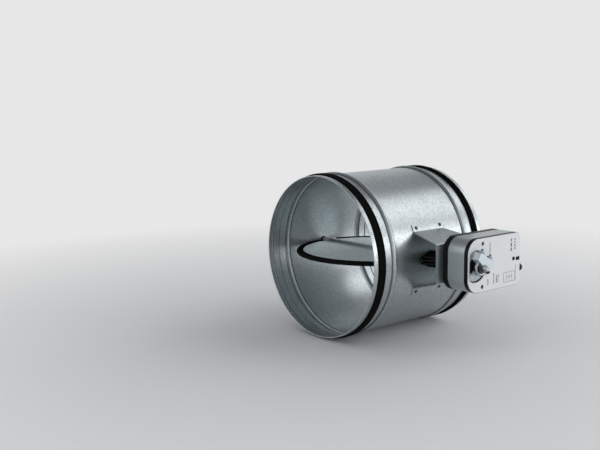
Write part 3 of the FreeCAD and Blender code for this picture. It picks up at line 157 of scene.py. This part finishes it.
# Marks on the face: along, low, high, width, parts; then along, across, width, height
FACE = 209.6
MARK_HEIGHT = 0.12
MARK_SINK = 0.02
MARK_SHARE, MARK_SPREAD = 0.55, 0.3
MARK_COLUMNS = (
    (30.5, 6.5, 31.5, 1.6, 9),
    (79.5, 12, 33, 2.6, 3),
    (88.0, 14, 32, 2.0, 4),
    (27.0, -31, -22, 1.8, 3),
    (40.0, -31, -15, 1.6, 5),
    (46.5, -30, -18, 2.0, 3),
    (50.5, -30, -18, 1.2, 4),
    (91.0, -32, -8, 0.8, 8),
)
MARK_LINES = (
    (76, -18, 26, 0.5),
    (76, -32, 26, 0.5),
    (63, -25, 0.5, 14),
    (89, -25, 0.5, 14),
    (70, -25, 0.5, 9),
    (76, -25, 0.5, 9),
    (82, -25, 0.5, 9),
    (76, -25, 12, 0.5),
)

# Scale on the dial
DIAL_FACE = 207.4
DIAL_REACH = 21.3
TICK_COUNT = 19
TICK_FIRST = 83
TICK_TURN = 5
TICK_LONG, TICK_SHORT = 4.2, 2.4
TICK_WIDTH = 0.45

# Slot's floor and button's spring
SLOT_START = 91.5
SLOT_END = 101.2
SLOT_HALF = 2.25
SLOT_DEPTH = 2.1
SLOT_FLOOR = 0.9
SPRING_WIRE = 0.3
SPRING_TURNS = 6
SPRING_STEPS = 24

# Stage and light, in metres
BACKGROUND_COLOR = (0.80, 0.80, 0.80)
FLOOR_COLOR = (0.86, 0.86, 0.86)
FLOOR_LOW = -0.1277
FLOOR_RADIUS = 14
FLOOR_FADE = (0.22, 1.2)
WORLD_COLOR = (0.93, 0.96, 1.0)
WORLD_LIGHT = 0.42
ZENITH_COLOR = (0.16, 0.17, 0.18)
ZENITH_FADE = (0.3, 0.8)

# Lamps: name, place, target, size, watts
LAMPS = (
    ("key", (0.94, 1.36, 1.45), (0, 0, 0), (1.8, 0.9), 7.5),
    ("side", (1.75, 1.45, 0.2), (0.1, 0, 0), (1.7, 1.2), 14.5),
    ("front", (-0.9, -1.9, 0.7), (0, 0, 0), (1.2, 1.2), 4),
    ("rear", (-0.2, 2.3, 0.7), (0, 0, 0), (1.7, 1.7), 7),
)

# CAD nodes shown in a variant of their slot's material
VARIANTS = {
    "clamp_saddle": "pale_zinc",
    "stop_lug": "pale_zinc",
    "blade_gasket": "matte_rubber",
}


# Meshes


def sharpened(mesh):
    """Smooth faces, with sharp edges where the mesh turns a corner."""
    mesh.polygons.foreach_set("use_smooth", [True] * len(mesh.polygons))
    mesh.set_sharp_from_angle(angle=SHARP_ANGLE)
    mesh.update()


def piece(name, points, faces, material, body, slot):
    """A new mesh of the object, from points in millimetres, riding on a body."""
    mesh = bpy.data.meshes.new(name)
    mesh.from_pydata([Vector(p) * MM for p in points], [], faces)
    mesh.validate()
    sharpened(mesh)
    mesh.materials.append(material)
    obj = bpy.data.objects.new(name, mesh)
    bpy.context.scene.collection.objects.link(obj)
    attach(obj, body)
    return obj


def joined(shapes):
    """Several (points, faces) shapes as one."""
    points, faces = [], []
    for more, rings in shapes:
        start = len(points)
        points += more
        faces += [tuple(start + i for i in ring) for ring in rings]
    return points, faces


def placed(shape, matrix):
    """The shape moved by a matrix."""
    return [matrix @ Vector(p) for p in shape[0]], shape[1]


def block(low, high):
    """A box between two corners."""
    places = [(low[i], high[i]) for i in range(3)]
    points = [(x, y, z) for x in places[0] for y in places[1] for z in places[2]]
    faces = [
        (0, 1, 3, 2), (4, 6, 7, 5), (0, 2, 6, 4),
        (1, 5, 7, 3), (0, 4, 5, 1), (2, 3, 7, 6),
    ]
    return points, faces


def turned(profile):
    """A closed outline of (radius, place) turned all round the duct's axis."""
    points, faces, count = [], [], len(profile)
    for step in range(TURN_STEPS):
        angle = 2 * math.pi * step / TURN_STEPS
        across, up = math.cos(angle), math.sin(angle)
        for radius, place in profile:
            points.append((radius * across, place, -radius * up))
    for step in range(TURN_STEPS):
        here, there = step * count, (step + 1) % TURN_STEPS * count
        for i in range(count):
            j = (i + 1) % count
            faces.append((here + i, here + j, there + j, there + i))
    return points, faces


def capped(profile, steps):
    """An open outline of (radius, height) turned about Z, whose ends are on the axis."""
    points = [(0, 0, profile[0][1])]
    inner = profile[1:-1]
    for step in range(steps):
        angle = 2 * math.pi * step / steps
        for radius, height in inner:
            points.append((radius * math.cos(angle), radius * math.sin(angle), height))
    points.append((0, 0, profile[-1][1]))
    count, last, faces = len(inner), len(points) - 1, []
    for step in range(steps):
        here, there = 1 + step * count, 1 + (step + 1) % steps * count
        faces.append((0, there, here))
        for i in range(count - 1):
            faces.append((here + i, there + i, there + i + 1, here + i + 1))
        faces.append((last, here + count - 1, there + count - 1))
    return points, faces


def arc(centre, radius, start, end, steps):
    """Points of an arc in the (radius, place) plane, its ends included."""
    points = []
    for step in range(steps + 1):
        angle = math.radians(start + (end - start) * step / steps)
        along = centre[1] + radius * math.sin(angle)
        points.append((centre[0] + radius * math.cos(angle), along))
    return points


def swept(path, radii, steps=20):
    """A round bar along points, each with its own radius, closed at both ends."""
    points, faces = [], []
    side = None
    for i, place in enumerate(path):
        before, after = path[max(i - 1, 0)], path[min(i + 1, len(path) - 1)]
        along = (Vector(after) - Vector(before)).normalized()
        if side is None:
            side = along.orthogonal().normalized()
        side = (side - along * side.dot(along)).normalized()
        up = along.cross(side)
        for step in range(steps):
            angle = 2 * math.pi * step / steps
            offset = side * math.cos(angle) + up * math.sin(angle)
            points.append(Vector(place) + offset * radii[i])
    for i in range(len(path) - 1):
        for step in range(steps):
            j = (step + 1) % steps
            here, there = i * steps, (i + 1) * steps
            faces.append((here + step, here + j, there + j, there + step))
    faces.append(tuple(range(steps - 1, -1, -1)))
    start = (len(path) - 1) * steps
    faces.append(tuple(range(start, start + steps)))
    return points, faces


# Materials


class Surface:
    """A Principled material with a few helpers for its nodes."""

    def __init__(self, name, color, metallic=0.0, roughness=0.5):
        self.material = bpy.data.materials.new(name)
        self.material.use_nodes = True
        self.tree = self.material.node_tree
        self.shader = self.tree.nodes["Principled BSDF"]
        self.shader.inputs["Base Color"].default_value = (*color, 1)
        self.shader.inputs["Metallic"].default_value = metallic
        self.shader.inputs["Roughness"].default_value = roughness
        self.place = self.tree.nodes.new("ShaderNodeTexCoord").outputs["Object"]

    def node(self, kind, **values):
        node = self.tree.nodes.new(kind)
        for key, value in values.items():
            setattr(node, key, value)
        return node

    def link(self, start, end):
        self.tree.links.new(start, end)

    def noise(self, scale, detail, stretch=None):
        """Soft random grey, stretched by a factor for each axis if given."""
        node = self.node("ShaderNodeTexNoise")
        node.inputs["Scale"].default_value = scale
        node.inputs["Detail"].default_value = detail
        self.link(self.stretched(stretch), node.inputs["Vector"])
        return node.outputs["Fac"]

    def stretched(self, stretch):
        if stretch is None:
            return self.place
        node = self.node("ShaderNodeMapping")
        node.inputs["Scale"].default_value = stretch
        self.link(self.place, node.inputs["Vector"])
        return node.outputs["Vector"]

    def cells(self, scale):
        """A random grey for each grain of a pattern."""
        node = self.node("ShaderNodeTexVoronoi")
        node.inputs["Scale"].default_value = scale
        self.link(self.place, node.inputs["Vector"])
        grey = self.node("ShaderNodeSeparateColor")
        self.link(node.outputs["Color"], grey.inputs["Color"])
        return grey.outputs["Red"]

    def ranged(self, source, low, high, start=0.0, end=1.0):
        """A value that runs from start to end, brought to run from low to high."""
        node = self.node("ShaderNodeMapRange")
        node.inputs["From Min"].default_value = start
        node.inputs["From Max"].default_value = end
        node.inputs["To Min"].default_value = low
        node.inputs["To Max"].default_value = high
        self.link(source, node.inputs["Value"])
        return node.outputs["Result"]

    def added(self, first, second):
        node = self.node("ShaderNodeMath", operation="ADD")
        self.link(first, node.inputs[0])
        self.link(second, node.inputs[1])
        return node.outputs["Value"]

    def away(self, source, number):
        """How far a value is from a number, on either side."""
        difference = self.node("ShaderNodeMath", operation="SUBTRACT")
        self.link(source, difference.inputs[0])
        difference.inputs[1].default_value = number
        size = self.node("ShaderNodeMath", operation="ABSOLUTE")
        self.link(difference.outputs["Value"], size.inputs[0])
        return size.outputs["Value"]

    def shaded(self, factor, low, high):
        """Base colour that runs from low to high with a factor."""
        node = self.node("ShaderNodeMix", data_type="RGBA")
        node.inputs[MIX_FROM].default_value = (*low, 1)
        node.inputs[MIX_TO].default_value = (*high, 1)
        self.link(factor, node.inputs[0])
        self.link(node.outputs[MIX_RESULT], self.shader.inputs["Base Color"])

    def paint_shade_lines(self, middle, reach, width, color):
        """Painted shade: darker lines across Y, where shade falls in folds, at a reach to both
        sides of a middle and of its mirror.
        """
        parts = self.node("ShaderNodeSeparateXYZ")
        self.link(self.place, parts.inputs["Vector"])
        from_centre = self.away(parts.outputs["Y"], 0)
        from_middle = self.away(from_centre, middle * MM)
        from_line = self.away(from_middle, reach * MM)
        painted_shade = self.ranged(from_line, 1, 0, 0, width * MM)
        plain = self.shader.inputs["Base Color"].links[0].from_socket
        node = self.node("ShaderNodeMix", data_type="RGBA")
        node.inputs[MIX_TO].default_value = (*color, 1)
        self.link(painted_shade, node.inputs[0])
        self.link(plain, node.inputs[MIX_FROM])
        self.link(node.outputs[MIX_RESULT], self.shader.inputs["Base Color"])

    def rough(self, source):
        self.link(source, self.shader.inputs["Roughness"])

    def bumped(self, source, strength, depth):
        node = self.node("ShaderNodeBump")
        node.inputs["Strength"].default_value = strength
        node.inputs["Distance"].default_value = depth
        self.link(source, node.inputs["Height"])
        self.link(node.outputs["Normal"], self.shader.inputs["Normal"])


def scaled(color, factor):
    return tuple(min(1.0, channel * factor) for channel in color)


def galvanised(name, color, roughness, metallic=0.9, shade_lines=()):
    """Zinc-coated sheet: grains of different brightness, soft patches and faint streaks, and
    painted shade along the given fold lines.
    """
    surface = Surface(name, color, metallic=metallic, roughness=roughness)
    grains = surface.ranged(surface.cells(430), -0.34, 0.34)
    patches = surface.ranged(surface.noise(22, 3), -0.22, 0.22)
    streaks = surface.ranged(surface.noise(60, 2, (0.5, 6, 6)), -0.1, 0.1)
    mixed = surface.added(surface.added(grains, patches), streaks)
    factor = surface.ranged(mixed, 0, 1, -0.5, 0.5)
    surface.shaded(factor, scaled(color, 0.78), scaled(color, 1.14))
    surface.rough(surface.ranged(factor, roughness + 0.04, roughness - 0.04))
    surface.bumped(surface.noise(700, 1), 0.06, 0.0001)
    # Painted shade in the folds: darker base colour where shade falls
    for middle, reach, width in shade_lines:
        surface.paint_shade_lines(middle, reach, width, scaled(color, PAINTED_SHADE_TONE))
    return surface.material


def plated(name, color, roughness, metallic=0.95):
    """Machined or pressed steel with a thin plating and fine scratches."""
    surface = Surface(name, color, metallic=metallic, roughness=roughness)
    spots = surface.ranged(surface.noise(320, 3), -0.3, 0.3)
    scratches = surface.ranged(surface.noise(90, 2, (1, 9, 1)), -0.3, 0.3)
    wear = surface.added(spots, scratches)
    factor = surface.ranged(wear, 0, 1, -0.3, 0.3)
    surface.shaded(factor, scaled(color, 0.93), scaled(color, 1.04))
    surface.rough(surface.ranged(factor, roughness + 0.08, roughness - 0.05))
    surface.bumped(surface.noise(1400, 2), 0.05, 0.00005)
    return surface.material


def moulded(name, color, roughness, grain=900, depth=0.00012, spread=0.12, specular=0.15):
    """Moulded plastic or rubber with a fine spark-eroded grain."""
    surface = Surface(name, color, roughness=roughness)
    surface.shader.inputs["Specular IOR Level"].default_value = specular
    factor = surface.noise(45, 3)
    surface.shaded(factor, scaled(color, 1 - spread), scaled(color, 1 + spread))
    surface.rough(surface.ranged(surface.noise(grain, 2), roughness - 0.05, roughness + 0.07))
    surface.bumped(surface.noise(grain, 2), 0.16, depth)
    return surface.material


def metallic_paint(name, color):
    """Grey plastic with metal flakes in it, as on the actuator's middle shell."""
    surface = Surface(name, color, metallic=0.75, roughness=0.36)
    flakes = surface.ranged(surface.cells(2600), -0.5, 0.5)
    clouds = surface.ranged(surface.noise(70, 2), -0.3, 0.3)
    factor = surface.ranged(surface.added(flakes, clouds), 0, 1, -0.6, 0.6)
    surface.shaded(factor, scaled(color, 0.88), scaled(color, 1.12))
    surface.rough(surface.ranged(factor, 0.4, 0.32))
    surface.bumped(surface.noise(1500, 2), 0.1, 0.00008)
    return surface.material


def make_materials():
    zinc = (0.47, 0.51, 0.53)
    black = (0.006, 0.006, 0.0065)
    return {
        "galvanised_steel": galvanised("galvanised_steel", zinc, 0.33),
        "tube_steel": galvanised("tube_steel", zinc, 0.33, shade_lines=TUBE_PAINTED_SHADE),
        "blade_steel": galvanised("blade_steel", (0.80, 0.89, 0.92), 0.55, 0.45, RIDGE_PAINTED_SHADE),
        "black_rubber": moulded("black_rubber", black, 0.6, grain=700, specular=0.06),
        "matte_rubber": moulded("matte_rubber", (0.011, 0.011, 0.0115), 0.7, grain=700, specular=0),
        "bearing_plastic": moulded("bearing_plastic", black, 0.36),
        "black_plastic": moulded("black_plastic", (0.006, 0.0065, 0.007), 0.4),
        "grey_plastic": metallic_paint("grey_plastic", (0.46, 0.51, 0.53)),
        "white_face": moulded("white_face", (0.92, 0.925, 0.935), 0.38, 1200, 0.00003, 0.012),
        "dial_grey": moulded("dial_grey", (0.62, 0.64, 0.65), 0.45, 1000, 0.00004, 0.02),
        "print_grey": moulded("print_grey", (0.11, 0.11, 0.12), 0.5, 900, 0.00002, 0.05),
        "bright_zinc": plated("bright_zinc", (0.36, 0.41, 0.445), 0.25),
        "pale_zinc": plated("pale_zinc", (0.66, 0.74, 0.78), 0.34, 0.5),
        "dark_steel": plated("dark_steel", (0.07, 0.08, 0.085), 0.36, 0.7),
        "steel": plated("steel", (0.52, 0.53, 0.54), 0.33),
        "gear_plastic": moulded("gear_plastic", (0.78, 0.75, 0.66), 0.4, 900, 0.00005, 0.04),
        "gear_brass": plated("gear_brass", (0.70, 0.52, 0.24), 0.3),
        "magnet": plated("magnet", (0.09, 0.09, 0.095), 0.5, 0.6),
        "board_green": moulded("board_green", (0.02, 0.16, 0.06), 0.35, 800, 0.00005, 0.1),
        "aluminium": plated("aluminium", (0.70, 0.71, 0.72), 0.32),
    }


# Pieces


def duct_outline():
    """Outline of one half of the tube's wall, then the other half mirrored."""
    wall, outer, inner = DUCT_WALL, DUCT_RADIUS, DUCT_RADIUS - DUCT_WALL
    reach = (BEAD_HALF**2 + BEAD_HEIGHT**2) / (2 * BEAD_HEIGHT)
    crown = reach - BEAD_FOOT
    lean = math.degrees(math.asin(BEAD_HALF / reach))
    low, high = BEAD_PLACE - BEAD_HALF, BEAD_PLACE + BEAD_HALF
    top = (outer + BEAD_HEIGHT - crown, BEAD_PLACE)
    outside = arc((outer + BEAD_FOOT, low), BEAD_FOOT, 180, 180 - lean, FOOT_STEPS)
    outside += arc(top, crown, -lean, lean, CROWN_STEPS)[1:]
    outside += arc((outer + BEAD_FOOT, high), BEAD_FOOT, 180 + lean, 180, FOOT_STEPS)[1:]
    foot, roof = BEAD_FOOT + wall, crown - wall
    inside = arc((inner + foot, high), foot, 180, 180 + lean, FOOT_STEPS)
    inside += arc(top, roof, lean, -lean, CROWN_STEPS)[1:]
    inside += arc((inner + foot, low), foot, 180 - lean, 180, FOOT_STEPS)[1:]
    floor = outer - SEAT_DEPTH
    slope_start, slope_end = SEAT_START - SEAT_SLOPE, SEAT_END + SEAT_SLOPE
    floor_start, floor_end = SEAT_START - SEAT_EASE, SEAT_END + SEAT_EASE
    hem = DUCT_END - HEM_LENGTH
    half = outside
    half += [(outer, slope_start), (floor, floor_start), (floor, floor_end), (outer, slope_end)]
    half += arc((outer - wall, DUCT_END - wall), wall, 0, 180, HEM_STEPS)
    half += [(outer - 2 * wall, hem), (inner, hem)]
    half += [(inner, slope_end), (floor - wall, floor_end)]
    half += [(floor - wall, floor_start), (inner, slope_start)]
    half += inside
    other = [(radius, -place) for radius, place in reversed(half)]
    return half + other


def gasket_outline(side):
    """Rubber ring with two rounded lips and two fine ribs beside each."""
    base, top = DUCT_RADIUS - SEAT_DEPTH, DUCT_RADIUS + GASKET_RISE
    outline = [(base, GASKET_START), (top, GASKET_START)]
    for root in LIP_ROOTS:
        outline += [(top + rise, root + along) for rise, along in LIP_BACK]
        outline += [(LIP_RADIUS + rise, root + along) for rise, along in LIP_TIP]
        outline += [(top + rise, root + along) for rise, along in LIP_FRONT]
        for rib in RIB_PLACES:
            outline += [(top + rise, root + rib + along) for rise, along in RIB_PROFILE]
    outline += [(top, GASKET_END), (base, GASKET_END)]
    outline = [(radius, side * place) for radius, place in outline]
    return outline if side > 0 else outline[::-1]


def make_duct(materials):
    shape = turned(duct_outline())
    tube = piece("duct_tube", *shape, materials["tube_steel"], "casing", "galvanised_steel")
    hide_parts("duct_body")
    rubber = materials["black_rubber"]
    for name, side in (("front", -1), ("rear", 1)):
        shape = turned(gasket_outline(side))
        ring = piece(f"{name}_lip_seal", *shape, rubber, "casing", "black_rubber")
        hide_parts(f"{name}_gasket")


def blind_rivet(shank, head, dome, tail, grip):
    """The whole rivet along Z, its head on Z = 0."""
    tail_end = -grip - TAIL_HEIGHT
    bulb = [(0, tail_end), (shank, tail_end), (tail, -grip - TAIL_HEIGHT * 0.6)]
    bulb += [(tail, -grip - 0.05), (shank, -grip)]
    top = [(shank, -0.02)]
    top += [(head * across, dome * up) for across, up in HEAD_PROFILE]
    top += [(MANDREL_RIM, dome), (MANDREL_RADIUS, dome * 0.5), (0, dome * 0.5)]
    return capped(bulb + top, RIVET_STEPS)


def outward(distance, place):
    """Turns Z into the way out from the duct, at a distance from its axis."""
    return Matrix.Translation((distance, place, 0)) @ Matrix.Rotation(math.pi / 2, 4, "Y")


def make_rivets(materials):
    dark, bright = materials["dark_steel"], materials["steel"]
    shape = blind_rivet(**SMALL_RIVET, grip=CONSOLE_GRIP)
    shapes = []
    for angle in CONSOLE_RIVET_ANGLES:
        turn = Matrix.Rotation(math.radians(-angle), 4, "Y")
        shapes += [placed(shape, turn @ outward(CONSOLE_SEAT, y)) for y in CONSOLE_RIVET_PLACES]
    rivets = piece("console_blind_rivets", *joined(shapes), dark, "casing", "dark_steel")
    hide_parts("console_rivets")
    shape = blind_rivet(**SMALL_RIVET, grip=EAR_GRIP)
    shapes = [placed(shape, outward(EAR_SEAT, y)) for y in EAR_RIVET_PLACES]
    rivets = piece("ear_blind_rivets", *joined(shapes), dark, "casing", "dark_steel")
    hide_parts("bearing_rivets")
    shape = blind_rivet(**BLADE_RIVET, grip=BLADE_GRIP)
    spots = [Matrix.Translation((x, 0, RIDGE_TOP)) for x in BLADE_RIVET_PLACES]
    shapes = [placed(shape, spot) for spot in spots]
    rivets = piece("blade_blind_rivets", *joined(shapes), bright, "blade", "steel")
    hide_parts("blade_rivets")


def bolt_leg(side, heights):
    """Places and radii along one leg, from its heights: plain, threaded, then bevelled."""
    path, radii = [], []
    for height in heights:
        path.append((BOLT_PLANE, side * BOLT_HALF, height))
        ridge = abs(height / THREAD_PITCH % 1 - 0.5) * 2
        tip = min(1.0, (BOLT_TIP - height) / BOLT_BEVEL)
        threaded = (BOLT_RADIUS - THREAD_DEPTH * ridge) * (1 - BOLT_BEVEL_SHARE * (1 - tip))
        radii.append(threaded if height > THREAD_START else BOLT_RADIUS)
    return path, radii


def make_u_bolt(materials):
    """Bent bar with threaded legs."""
    steps = int((BOLT_TIP - THREAD_START) / THREAD_STEP)
    heights = [BOLT_TIP - THREAD_STEP * i for i in range(steps + 1)] + BOLT_PLAIN_HEIGHTS
    path, radii = bolt_leg(-1, heights)
    for step in range(1, BEND_STEPS):
        angle = math.pi + math.pi * step / BEND_STEPS
        path.append((BOLT_PLANE, BOLT_HALF * math.cos(angle), BOLT_HALF * math.sin(angle)))
        radii.append(BOLT_RADIUS)
    last_path, last_radii = bolt_leg(1, heights[::-1])
    bar = swept(path + last_path, radii + last_radii)
    shape = placed(bar, Matrix.Rotation(math.radians(-CLAMP_ANGLE), 4, "X"))
    bolt = piece("clamp_bent_bolt", *shape, materials["bright_zinc"], "blade", "bright_zinc")
    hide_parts("clamp_u_bolt")


def mark(face, y, z, width, height):
    """A thin raised bar on a face that looks along X."""
    x = face - MARK_SINK
    low = (x, y - width / 2, z - height / 2)
    high = (x + MARK_HEIGHT, y + width / 2, z + height / 2)
    return block(low, high)


def make_print(materials):
    """Plain marks on the white face and a scale on the dial."""
    grey = materials["print_grey"]
    marks = []
    for along, low, high, width, parts in MARK_COLUMNS:
        step = (high - low) / parts
        for part in range(parts):
            length = step * (MARK_SHARE + MARK_SPREAD * ((part * 7 + int(along)) % 3) / 2)
            marks.append(mark(FACE, along, low + step * (part + 0.5), width, length))
    marks += [mark(FACE, *line) for line in MARK_LINES]
    piece("face_marks", *joined(marks), grey, "casing", "black_plastic")
    ticks = []
    for number in range(TICK_COUNT):
        angle = -CLAMP_ANGLE + TICK_FIRST - number * TICK_TURN
        length = TICK_LONG if number % 3 == 0 else TICK_SHORT
        tick = mark(DIAL_FACE, DIAL_REACH - length / 2, 0, length, TICK_WIDTH)
        ticks.append(placed(tick, Matrix.Rotation(math.radians(angle), 4, "X")))
    piece("dial_scale", *joined(ticks), grey, "casing", "black_plastic")


def make_blade_lips(materials):
    """Two rounded lips on each side of the blade's rubber, open beside the shaft."""
    shapes = []
    for height in (BLADE_TOP - BLADE_LIP_SINK, BLADE_BOTTOM + BLADE_LIP_SINK):
        for radius in [BLADE_RADIUS - setback for setback in BLADE_LIP_SETBACKS]:
            for start in (BLADE_LIP_GAP, 180 + BLADE_LIP_GAP):
                path = []
                for step in range(BLADE_LIP_STEPS + 1):
                    turn = (180 - 2 * BLADE_LIP_GAP) * step / BLADE_LIP_STEPS
                    angle = math.radians(start + turn)
                    path.append((radius * math.cos(angle), radius * math.sin(angle), height))
                shapes.append(swept(path, [BLADE_LIP_RADIUS] * len(path), 10))
    rubber = materials["matte_rubber"]
    piece("blade_lips", *joined(shapes), rubber, "blade", "black_rubber")


def make_slot_floor(materials):
    """Black cover seen at the bottom of the slot in the white face."""
    low = (FACE - SLOT_DEPTH, SLOT_START, -SLOT_HALF)
    high = (FACE - SLOT_DEPTH + SLOT_FLOOR, SLOT_END, SLOT_HALF)
    plastic = materials["black_plastic"]
    piece("slot_floor", *block(low, high), plastic, "casing", "black_plastic")


def make_spring(frame, materials):
    """Round wire coil in place of the square one."""
    node = frame["nodes"]["button_spring"]
    corners = [node.matrix_world @ vertex.co / MM for vertex in node.data.vertices]
    low = [min(corner[i] for corner in corners) for i in range(3)]
    high = [max(corner[i] for corner in corners) for i in range(3)]
    along, across = (low[1] + high[1]) / 2, (low[2] + high[2]) / 2
    radius = (high[2] - low[2]) / 2 - SPRING_WIRE
    start, length = low[0] + SPRING_WIRE, high[0] - low[0] - 2 * SPRING_WIRE
    steps = SPRING_TURNS * SPRING_STEPS
    path = []
    for step in range(steps + 1):
        angle = 2 * math.pi * step / SPRING_STEPS
        place = start + length * step / steps
        y, z = along + radius * math.sin(angle), across - radius * math.cos(angle)
        path.append((place, y, z))
    shape = swept(path, [SPRING_WIRE] * len(path), 10)
    spring = piece("button_coil", *shape, materials["steel"], "casing", "steel")
    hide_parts("button_spring")
    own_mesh(spring)


def dress(frame, materials):
    """Gives every shown CAD node the material of its slot, or a variant of it."""
    slots = {row["node"]: row["material_slot"] for row in frame["record"]["subparts"]}
    slots.update(VARIANTS)
    for name, obj in frame["nodes"].items():
        obj.data.materials.clear()
        obj.data.materials.append(materials[slots[name]])


# Stage


def seen_rays(tree):
    """1 for rays from the camera and for those that metal and glass show."""
    path = tree.nodes.new("ShaderNodeLightPath")
    value = path.outputs["Is Camera Ray"]
    for name in ("Is Glossy Ray", "Is Transmission Ray"):
        node = tree.nodes.new("ShaderNodeMath")
        node.operation = "MAXIMUM"
        tree.links.new(value, node.inputs[0])
        tree.links.new(path.outputs[name], node.inputs[1])
        value = node.outputs["Value"]
    return value


def make_stage():
    """A pale floor that takes the object's shadow and fades into the background."""
    bpy.ops.mesh.primitive_circle_add(
        vertices=96, radius=FLOOR_RADIUS, fill_type="NGON", location=(0, 0, FLOOR_LOW)
    )
    floor = bpy.context.object
    floor.name = "floor"
    surface = Surface("floor_paper", FLOOR_COLOR, roughness=0.95)
    surface.shaded(surface.noise(3, 2), scaled(FLOOR_COLOR, 0.99), scaled(FLOOR_COLOR, 1.01))
    distance = surface.node("ShaderNodeVectorMath", operation="LENGTH")
    surface.link(surface.place, distance.inputs[0])
    fade = surface.ranged(distance.outputs["Value"], 0, 1, *FLOOR_FADE)
    both = surface.node("ShaderNodeMath", operation="MULTIPLY")
    surface.link(fade, both.inputs[0])
    surface.link(seen_rays(surface.tree), both.inputs[1])
    far = surface.node("ShaderNodeEmission")
    far.inputs["Color"].default_value = (*BACKGROUND_COLOR, 1)
    mix = surface.node("ShaderNodeMixShader")
    surface.link(both.outputs["Value"], mix.inputs["Fac"])
    surface.link(surface.shader.outputs["BSDF"], mix.inputs[1])
    surface.link(far.outputs["Emission"], mix.inputs[2])
    surface.link(mix.outputs["Shader"], surface.tree.nodes["Material Output"].inputs["Surface"])
    floor.data.materials.append(surface.material)


def make_world():
    """Soft light from all sides, and a pale grey, darker overhead, where it is seen."""
    world = bpy.data.worlds.new("studio")
    world.use_nodes = True
    bpy.context.scene.world = world
    tree = world.node_tree
    background = tree.nodes["Background"]
    background.inputs["Color"].default_value = (*WORLD_COLOR, 1)
    background.inputs["Strength"].default_value = WORLD_LIGHT
    seen = tree.nodes.new("ShaderNodeBackground")
    seen.inputs["Strength"].default_value = 1.0
    place = tree.nodes.new("ShaderNodeTexCoord")
    height = tree.nodes.new("ShaderNodeSeparateXYZ")
    tree.links.new(place.outputs["Generated"], height.inputs["Vector"])
    fade = tree.nodes.new("ShaderNodeMapRange")
    fade.interpolation_type = "SMOOTHSTEP"
    fade.inputs["From Min"].default_value = ZENITH_FADE[0]
    fade.inputs["From Max"].default_value = ZENITH_FADE[1]
    tree.links.new(height.outputs["Z"], fade.inputs["Value"])
    sky = tree.nodes.new("ShaderNodeMix")
    sky.data_type = "RGBA"
    sky.inputs[MIX_FROM].default_value = (*BACKGROUND_COLOR, 1)
    sky.inputs[MIX_TO].default_value = (*ZENITH_COLOR, 1)
    tree.links.new(fade.outputs["Result"], sky.inputs[0])
    tree.links.new(sky.outputs[MIX_RESULT], seen.inputs["Color"])
    mix = tree.nodes.new("ShaderNodeMixShader")
    tree.links.new(seen_rays(tree), mix.inputs["Fac"])
    tree.links.new(background.outputs["Background"], mix.inputs[1])
    tree.links.new(seen.outputs["Background"], mix.inputs[2])
    tree.links.new(mix.outputs["Shader"], tree.nodes["World Output"].inputs["Surface"])


def make_light(name, place, target, size, power):
    data = bpy.data.lights.new(name, "AREA")
    data.shape = "RECTANGLE"
    data.size, data.size_y = size
    data.energy = power
    lamp = bpy.data.objects.new(name, data)
    lamp.location = place
    aim = Vector(place) - Vector(target)
    lamp.rotation_mode = "QUATERNION"
    lamp.rotation_quaternion = aim.to_track_quat("Z", "Y")
    bpy.context.scene.collection.objects.link(lamp)


def make_camera():
    turns = (CAMERA_AZIMUTH, CAMERA_ELEVATION, CAMERA_ROLL)
    azimuth, elevation, roll = (math.radians(turn) for turn in turns)
    sideways, level = math.sin(azimuth), math.cos(azimuth)
    height, flat = math.sin(elevation), math.cos(elevation)
    right = Vector((level, sideways, 0))
    up = Vector((-sideways * height, level * height, flat))
    back = Vector((sideways * flat, -level * flat, height))
    rolled_right = right * math.cos(roll) + up * math.sin(roll)
    rolled_up = up * math.cos(roll) - right * math.sin(roll)
    turn = Matrix((rolled_right, rolled_up, back)).transposed().to_4x4()
    data = bpy.data.cameras.new("camera")
    data.lens = CAMERA_LENS
    data.sensor_width = CAMERA_SENSOR
    data.clip_start, data.clip_end = CAMERA_CLIP
    camera = bpy.data.objects.new("camera", data)
    camera.matrix_world = Matrix.Translation(CAMERA_PLACE) @ turn
    bpy.context.scene.collection.objects.link(camera)
    bpy.context.scene.camera = camera


def main():
    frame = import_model()
    bpy.context.scene.view_settings.view_transform = "Standard"
    materials = make_materials()
    dress(frame, materials)
    make_duct(materials)
    make_rivets(materials)
    make_u_bolt(materials)
    make_print(materials)
    make_blade_lips(materials)
    make_slot_floor(materials)
    make_spring(frame, materials)
    make_stage()
    make_world()
    for lamp in LAMPS:
        make_light(*lamp)
    make_camera()


main()
